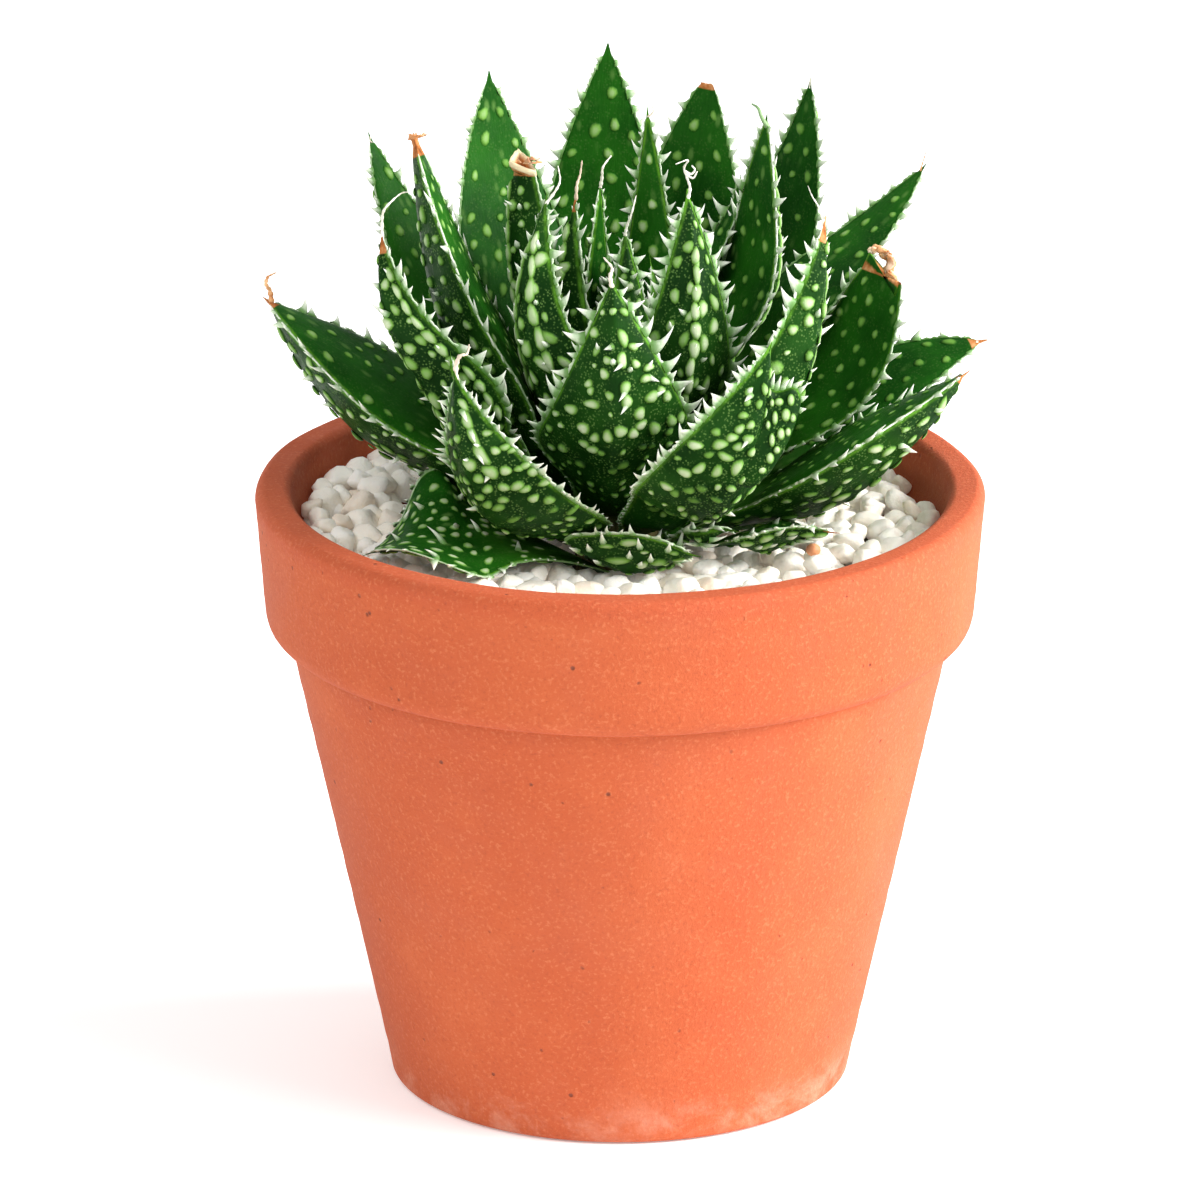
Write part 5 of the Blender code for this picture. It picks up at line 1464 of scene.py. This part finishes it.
def make_pot():
    outline = pot_outline()
    sides = 264
    rand = random.Random("pot")
    waves = [(rand.uniform(0, 6.3), rand.uniform(0.02, 0.06), n) for n in (2, 3, 5, 9, 14)]
    ang = 2 * np.pi * np.arange(sides) / sides
    rings, spot, edge, dry, band = [], [], [], [], []
    for index, (r, z) in enumerate(outline):
        outside = index < len(outline) * 0.62 and (r > wall_in(z) + WALL * 0.45)
        wob = sum(amp * np.sin(n * ang + phase + 0.05 * z * (n % 3 - 1)) for phase, amp, n in waves)
        turns = 0.035 * math.sin(z * 2.1) + 0.03 * math.sin(z * 0.9 + 1.0)
        hold = min(1.0, max(0.0, z - 0.5) / 4.0)
        if z < 0.6:
            hold = 0.0
        rr = r - 0.10 * (1 if outside else -1) * hold + (wob * 0.8 + turns) * hold * (0.8 if outside else 1.0)
        zz = np.full(sides, z) + (wob * 0.8 * smooth(POT_H - 3.0, POT_H, z) if z > POT_H - 3.0 else 0.0)
        zz = np.minimum(zz, POT_H)
        rings.append(np.stack([rr * np.cos(ang), rr * np.sin(ang), zz], axis=1))
        spot.append(np.full(sides, 1.0 - float(smooth(1.0, 12.0, np.array(z))) if outside else 0.2))
        band.append(np.full(sides, float(smooth(POT_H - 8.0, POT_H - 5.0, z) * (1 - smooth(POT_H - 3.6, POT_H - 2.4, z))) if outside else 0.0))
        lip = float(smooth(POT_H - 4.5, POT_H - 2.2, np.array(z)))
        edge.append(np.full(sides, lip))
        # lf_dry on the pot carries the painted shade: none outside or on the lip, growing down the inside wall
        dry.append(np.full(sides, 0.0 if outside or z > POT_H - LIP else float(smooth(POT_H - 0.5, POT_H - 8.0, np.array(z)))))
    n = len(outline)
    faces = []
    for i in range(n):
        m = (i + 1) % n
        for k in range(sides):
            j = (k + 1) % sides
            faces.append((i * sides + k, i * sides + j, m * sides + j, m * sides + k))
    build = Build()
    build.add(np.concatenate(rings), faces, 0, lf_spot=np.concatenate(spot), lf_edge=np.concatenate(edge), lf_dry=np.concatenate(dry), lf_tone=np.concatenate(band))
    piece = build.piece("terracotta_pot", [terracotta()])
    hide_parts("pot")
    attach(piece, "root")
    return piece


# ---- pebbles ----------------------------------------------------------------------------
def ball_mesh(cuts):
    shape = bmesh.new()
    bmesh.ops.create_icosphere(shape, subdivisions=cuts, radius=1.0)
    shape.verts.ensure_lookup_table()
    points = np.array([v.co[:] for v in shape.verts])
    faces = [tuple(v.index for v in f.verts) for f in shape.faces]
    shape.free()
    return unit(points), faces


def pebble_shape(rand, ball):
    """Tumbled stone: a rounded polyhedron, flattened a little."""
    planes = []
    for _ in range(rand.randint(9, 13)):
        n = unit(np.array([rand.gauss(0, 1), rand.gauss(0, 1), rand.gauss(0, 1)]))
        planes.append(n / rand.uniform(0.74, 1.0))
    lean = np.clip(ball @ np.array(planes).T, 0.0, None)
    r = (lean**22).sum(axis=1) ** (-1 / 22.0)
    r = np.clip(r, 0.66, 1.30)
    p = ball * r[:, None]
    p = p * np.array([1.0, rand.uniform(0.76, 0.98), rand.uniform(0.62, 0.86)])
    ripple = 0.018 * np.sin(p @ np.array([5.0, 3.0, 4.0]) + rand.uniform(0, 6)) + 0.012 * np.sin(p @ np.array([-7.0, 9.0, 3.0]))
    return p * (1 + ripple)[:, None]


def turn_matrix(rand, tilt):
    """Random turn about Z after a tilt of up to tilt degrees."""
    a, b, c = rand.uniform(0, 2 * math.pi), math.radians(rand.uniform(-tilt, tilt)), math.radians(rand.uniform(-tilt, tilt))
    za = np.array([[math.cos(a), -math.sin(a), 0], [math.sin(a), math.cos(a), 0], [0, 0, 1]])
    xb = np.array([[1, 0, 0], [0, math.cos(b), -math.sin(b)], [0, math.sin(b), math.cos(b)]])
    yc = np.array([[math.cos(c), 0, math.sin(c)], [0, 1, 0], [-math.sin(c), 0, math.cos(c)]])
    return za @ xb @ yc


def spread_disc(rand, count, sizes, inside, outside, rounds):
    """Seeded positions in a ring, pushed apart until the discs hardly overlap."""
    r = np.sqrt(np.array([rand.uniform(inside**2, outside**2) for _ in range(count)]))
    a = np.array([rand.uniform(0, 2 * math.pi) for _ in range(count)])
    p = np.stack([r * np.cos(a), r * np.sin(a)], axis=1)
    for _ in range(rounds):
        d = p[:, None] - p[None]
        far = np.sqrt((d**2).sum(-1)) + 1e-6
        want = (sizes[:, None] + sizes[None]) * 0.93
        push = np.clip(want - far, 0, None)
        np.fill_diagonal(push, 0.0)
        p = p + ((d / far[..., None]) * push[..., None]).sum(1) * 0.32
        r = np.hypot(p[:, 0], p[:, 1])
        p = p * (np.clip(r, inside + sizes * 0.6, outside - sizes) / np.maximum(r, 1e-6))[:, None]
    return p


def make_pebbles(rows, shifts):
    rand = random.Random("pebble bed")
    leaves = []
    for row, shift in zip(rows, shifts):
        leaf = Leaf(row)
        leaf.shift = shift
        leaf.update()
        if leaf.low[2] < 6.0:
            leaves.append(leaf)
    balls = ball_mesh(3), ball_mesh(2)
    build = Build()
    wall = float(wall_in(GRAVEL_TOP))
    layers = ((350, 1.7, 3.7, 0.0, 26.0), (330, 1.9, 2.9, -2.7, 40.0))
    total = 0
    for layer, (count, small, large, drop, tilt) in enumerate(layers):
        fine, fine_faces = balls[layer]
        sizes = np.array([small + (large - small) * rand.random() ** 1.5 for _ in range(count)])
        places = spread_disc(rand, count, sizes * 0.86, 9.0, wall - 0.1, 160)
        for (x, y), size in zip(places, sizes):
            shape = (pebble_shape(rand, fine) @ turn_matrix(rand, tilt).T) * size
            r = math.hypot(x, y)
            near = 1.0 - float(smooth(20.0, 46.0, np.array(r)))
            heap = 1.6 * float(smooth(0.0, 38.0, np.array(y - 0.55 * x)))
            level = -GRAVEL_DISH * near + drop + rand.uniform(-0.5, 0.8) + 0.6 + heap
            centre = np.array([x, y, level - shape[:, 2].max() + 0.3])
            lowered = 0
            for lowered in range(9):
                body = shape + centre
                hit = False
                for leaf in leaves:
                    if (body.max(0) < leaf.low - 0.4).any() or (body.min(0) > leaf.high + 0.4).any():
                        continue
                    if leaf.inside(body)[1].any():
                        hit = True
                        break
                if not hit:
                    break
                centre = centre - np.array([0.0, 0.0, 0.7])
            if hit and layer == 0 or body[:, 2].min() < -GRAVEL_DEEP - 0.2:
                continue
            out = np.hypot(body[:, 0], body[:, 1]).max() - (wall - 0.15)
            if out > 0 or r > wall - 1.6 * size:
                body = body - np.array([x, y, 0.0]) / r * out
            core = CROWN_R + 0.5 - np.hypot(body[:, 0], body[:, 1]).min()
            if core > 0:
                continue
            tone = rand.random() ** 1.7
            build.add(body + np.array([0, 0, GRAVEL_TOP]), fine_faces, 0, lf_tone=tone)
            total += 1
    fine, fine_faces = balls[1]
    # one clay-coloured bead at the right
    x, y = 31.5, -17.0
    bead = fine * np.array([1.25, 1.2, 1.1]) + np.array([x, y, GRAVEL_TOP + 0.9])
    build.add(bead, fine_faces, 0, lf_tone=0.5, lf_dry=1.0)
    piece = build.piece("pebble_bed", [pebble_stone()])
    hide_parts("gravel")
    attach(piece, "root")
    return piece


# ---- the other CAD parts keep their shape, with finished materials ---------------------------
def repaint(node, mat):
    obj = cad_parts[node]
    if not obj.material_slots:
        obj.data.materials.append(mat)
    for slot in obj.material_slots:
        slot.material = mat


# ---- studio ------------------------------------------------------------------------------------
def studio():
    scene = bpy.context.scene
    floor = bpy.data.meshes.new("studio_floor")
    half, cuts = 6.0, 24
    grid = np.linspace(-half, half, cuts + 1)
    points = [(float(x), float(y), -0.0002) for y in grid for x in grid]
    faces = [
        (j * (cuts + 1) + i, j * (cuts + 1) + i + 1, (j + 1) * (cuts + 1) + i + 1, (j + 1) * (cuts + 1) + i)
        for j in range(cuts)
        for i in range(cuts)
    ]
    floor.from_pydata(points, [], faces)
    floor.materials.append(studio_floor())
    plane = bpy.data.objects.new("studio_floor", floor)
    scene.collection.objects.link(plane)

    camera = bpy.data.cameras.new("camera")
    camera.sensor_width = 36.0
    camera.lens = 36.0 * VIEW_SCALE / SIDE_PX
    camera.clip_start, camera.clip_end = 0.05, 40.0
    stand = bpy.data.objects.new("camera", camera)
    scene.collection.objects.link(stand)
    stand.location = Vector(VIEW.eye * MM)
    stand.rotation_euler = Vector(VIEW.ahead).to_track_quat("-Z", "Y").to_euler()
    scene.camera = stand

    def lamp(name, at, size, power, colour, aim=(0.0, 0.0, 0.09)):
        light = bpy.data.lights.new(name, "AREA")
        light.shape = "DISK"
        light.size = size
        light.energy = power
        light.color = colour
        obj = bpy.data.objects.new(name, light)
        scene.collection.objects.link(obj)
        obj.location = at
        obj.rotation_euler = (Vector(aim) - Vector(at)).to_track_quat("-Z", "Y").to_euler()

    lamp("key", (1.45, -0.80, 1.15), 1.0, 19.0, (1.0, 0.99, 0.975))
    lamp("side", (1.55, -0.05, 0.80), 1.1, 50.0, (1.0, 0.995, 0.985))
    lamp("fill", (-1.0, -1.1, 1.5), 1.0, 11.0, (0.98, 0.99, 1.0))

    world = bpy.data.worlds.new("studio")
    scene.world = world
    world.use_nodes = True
    tree = world.node_tree
    back = tree.nodes["Background"]
    back.inputs["Color"].default_value = (1.0, 1.0, 1.0, 1.0)
    back.inputs["Strength"].default_value = 0.73
    scene.view_settings.view_transform = "Standard"
    scene.view_settings.look = "None"


def main():
    studio()
    rows = list(LEAVES.values())
    shifts = settle(rows)
    make_pot()
    make_pebbles(rows, shifts)
    repaint("soil", potting_soil())
    repaint("crown", crown_tissue())
    mats = [leaf_skin(), leaf_horn(), dried_thread()]
    for (name, row), shift in zip(LEAVES.items(), shifts):
        turn = STYLE.get(name, PLAIN).get("turn", 0.0)
        if turn:
            row = row[:5] + (turn,) + row[6:]
        if name == "low_left":
            row = row[:6] + (1.7,) + row[7:]
            shift = shift.copy()
            shift[:, 4] = np.maximum(shift[:, 4], 0.95)
            for _ in range(3):
                shift[1:-1, :4] = (shift[:-2, :4] + 2 * shift[1:-1, :4] + shift[2:, :4]) / 4
                shift[0, :4] = shift[1, :4]
            out = SHIFT_AT
            shift[:, 4] *= 1 + 0.50 * smooth(0.40, 0.8, out)
            shift[:, 2] += 1.0 * smooth(0.2, 0.6, out) * (1 - smooth(0.8, 1.0, out))
        if name == "low_right":
            shift = shift.copy()
            shift[0:3, :3] = shift[3, :3]
            shift[:, 4] *= 1 + 0.8 * smooth(0.2, 0.7, SHIFT_AT)
            shift[:, 2] += 1.2 * smooth(0.2, 0.6, SHIFT_AT)
        dress(Blade(name, row, shift), mats)


main()
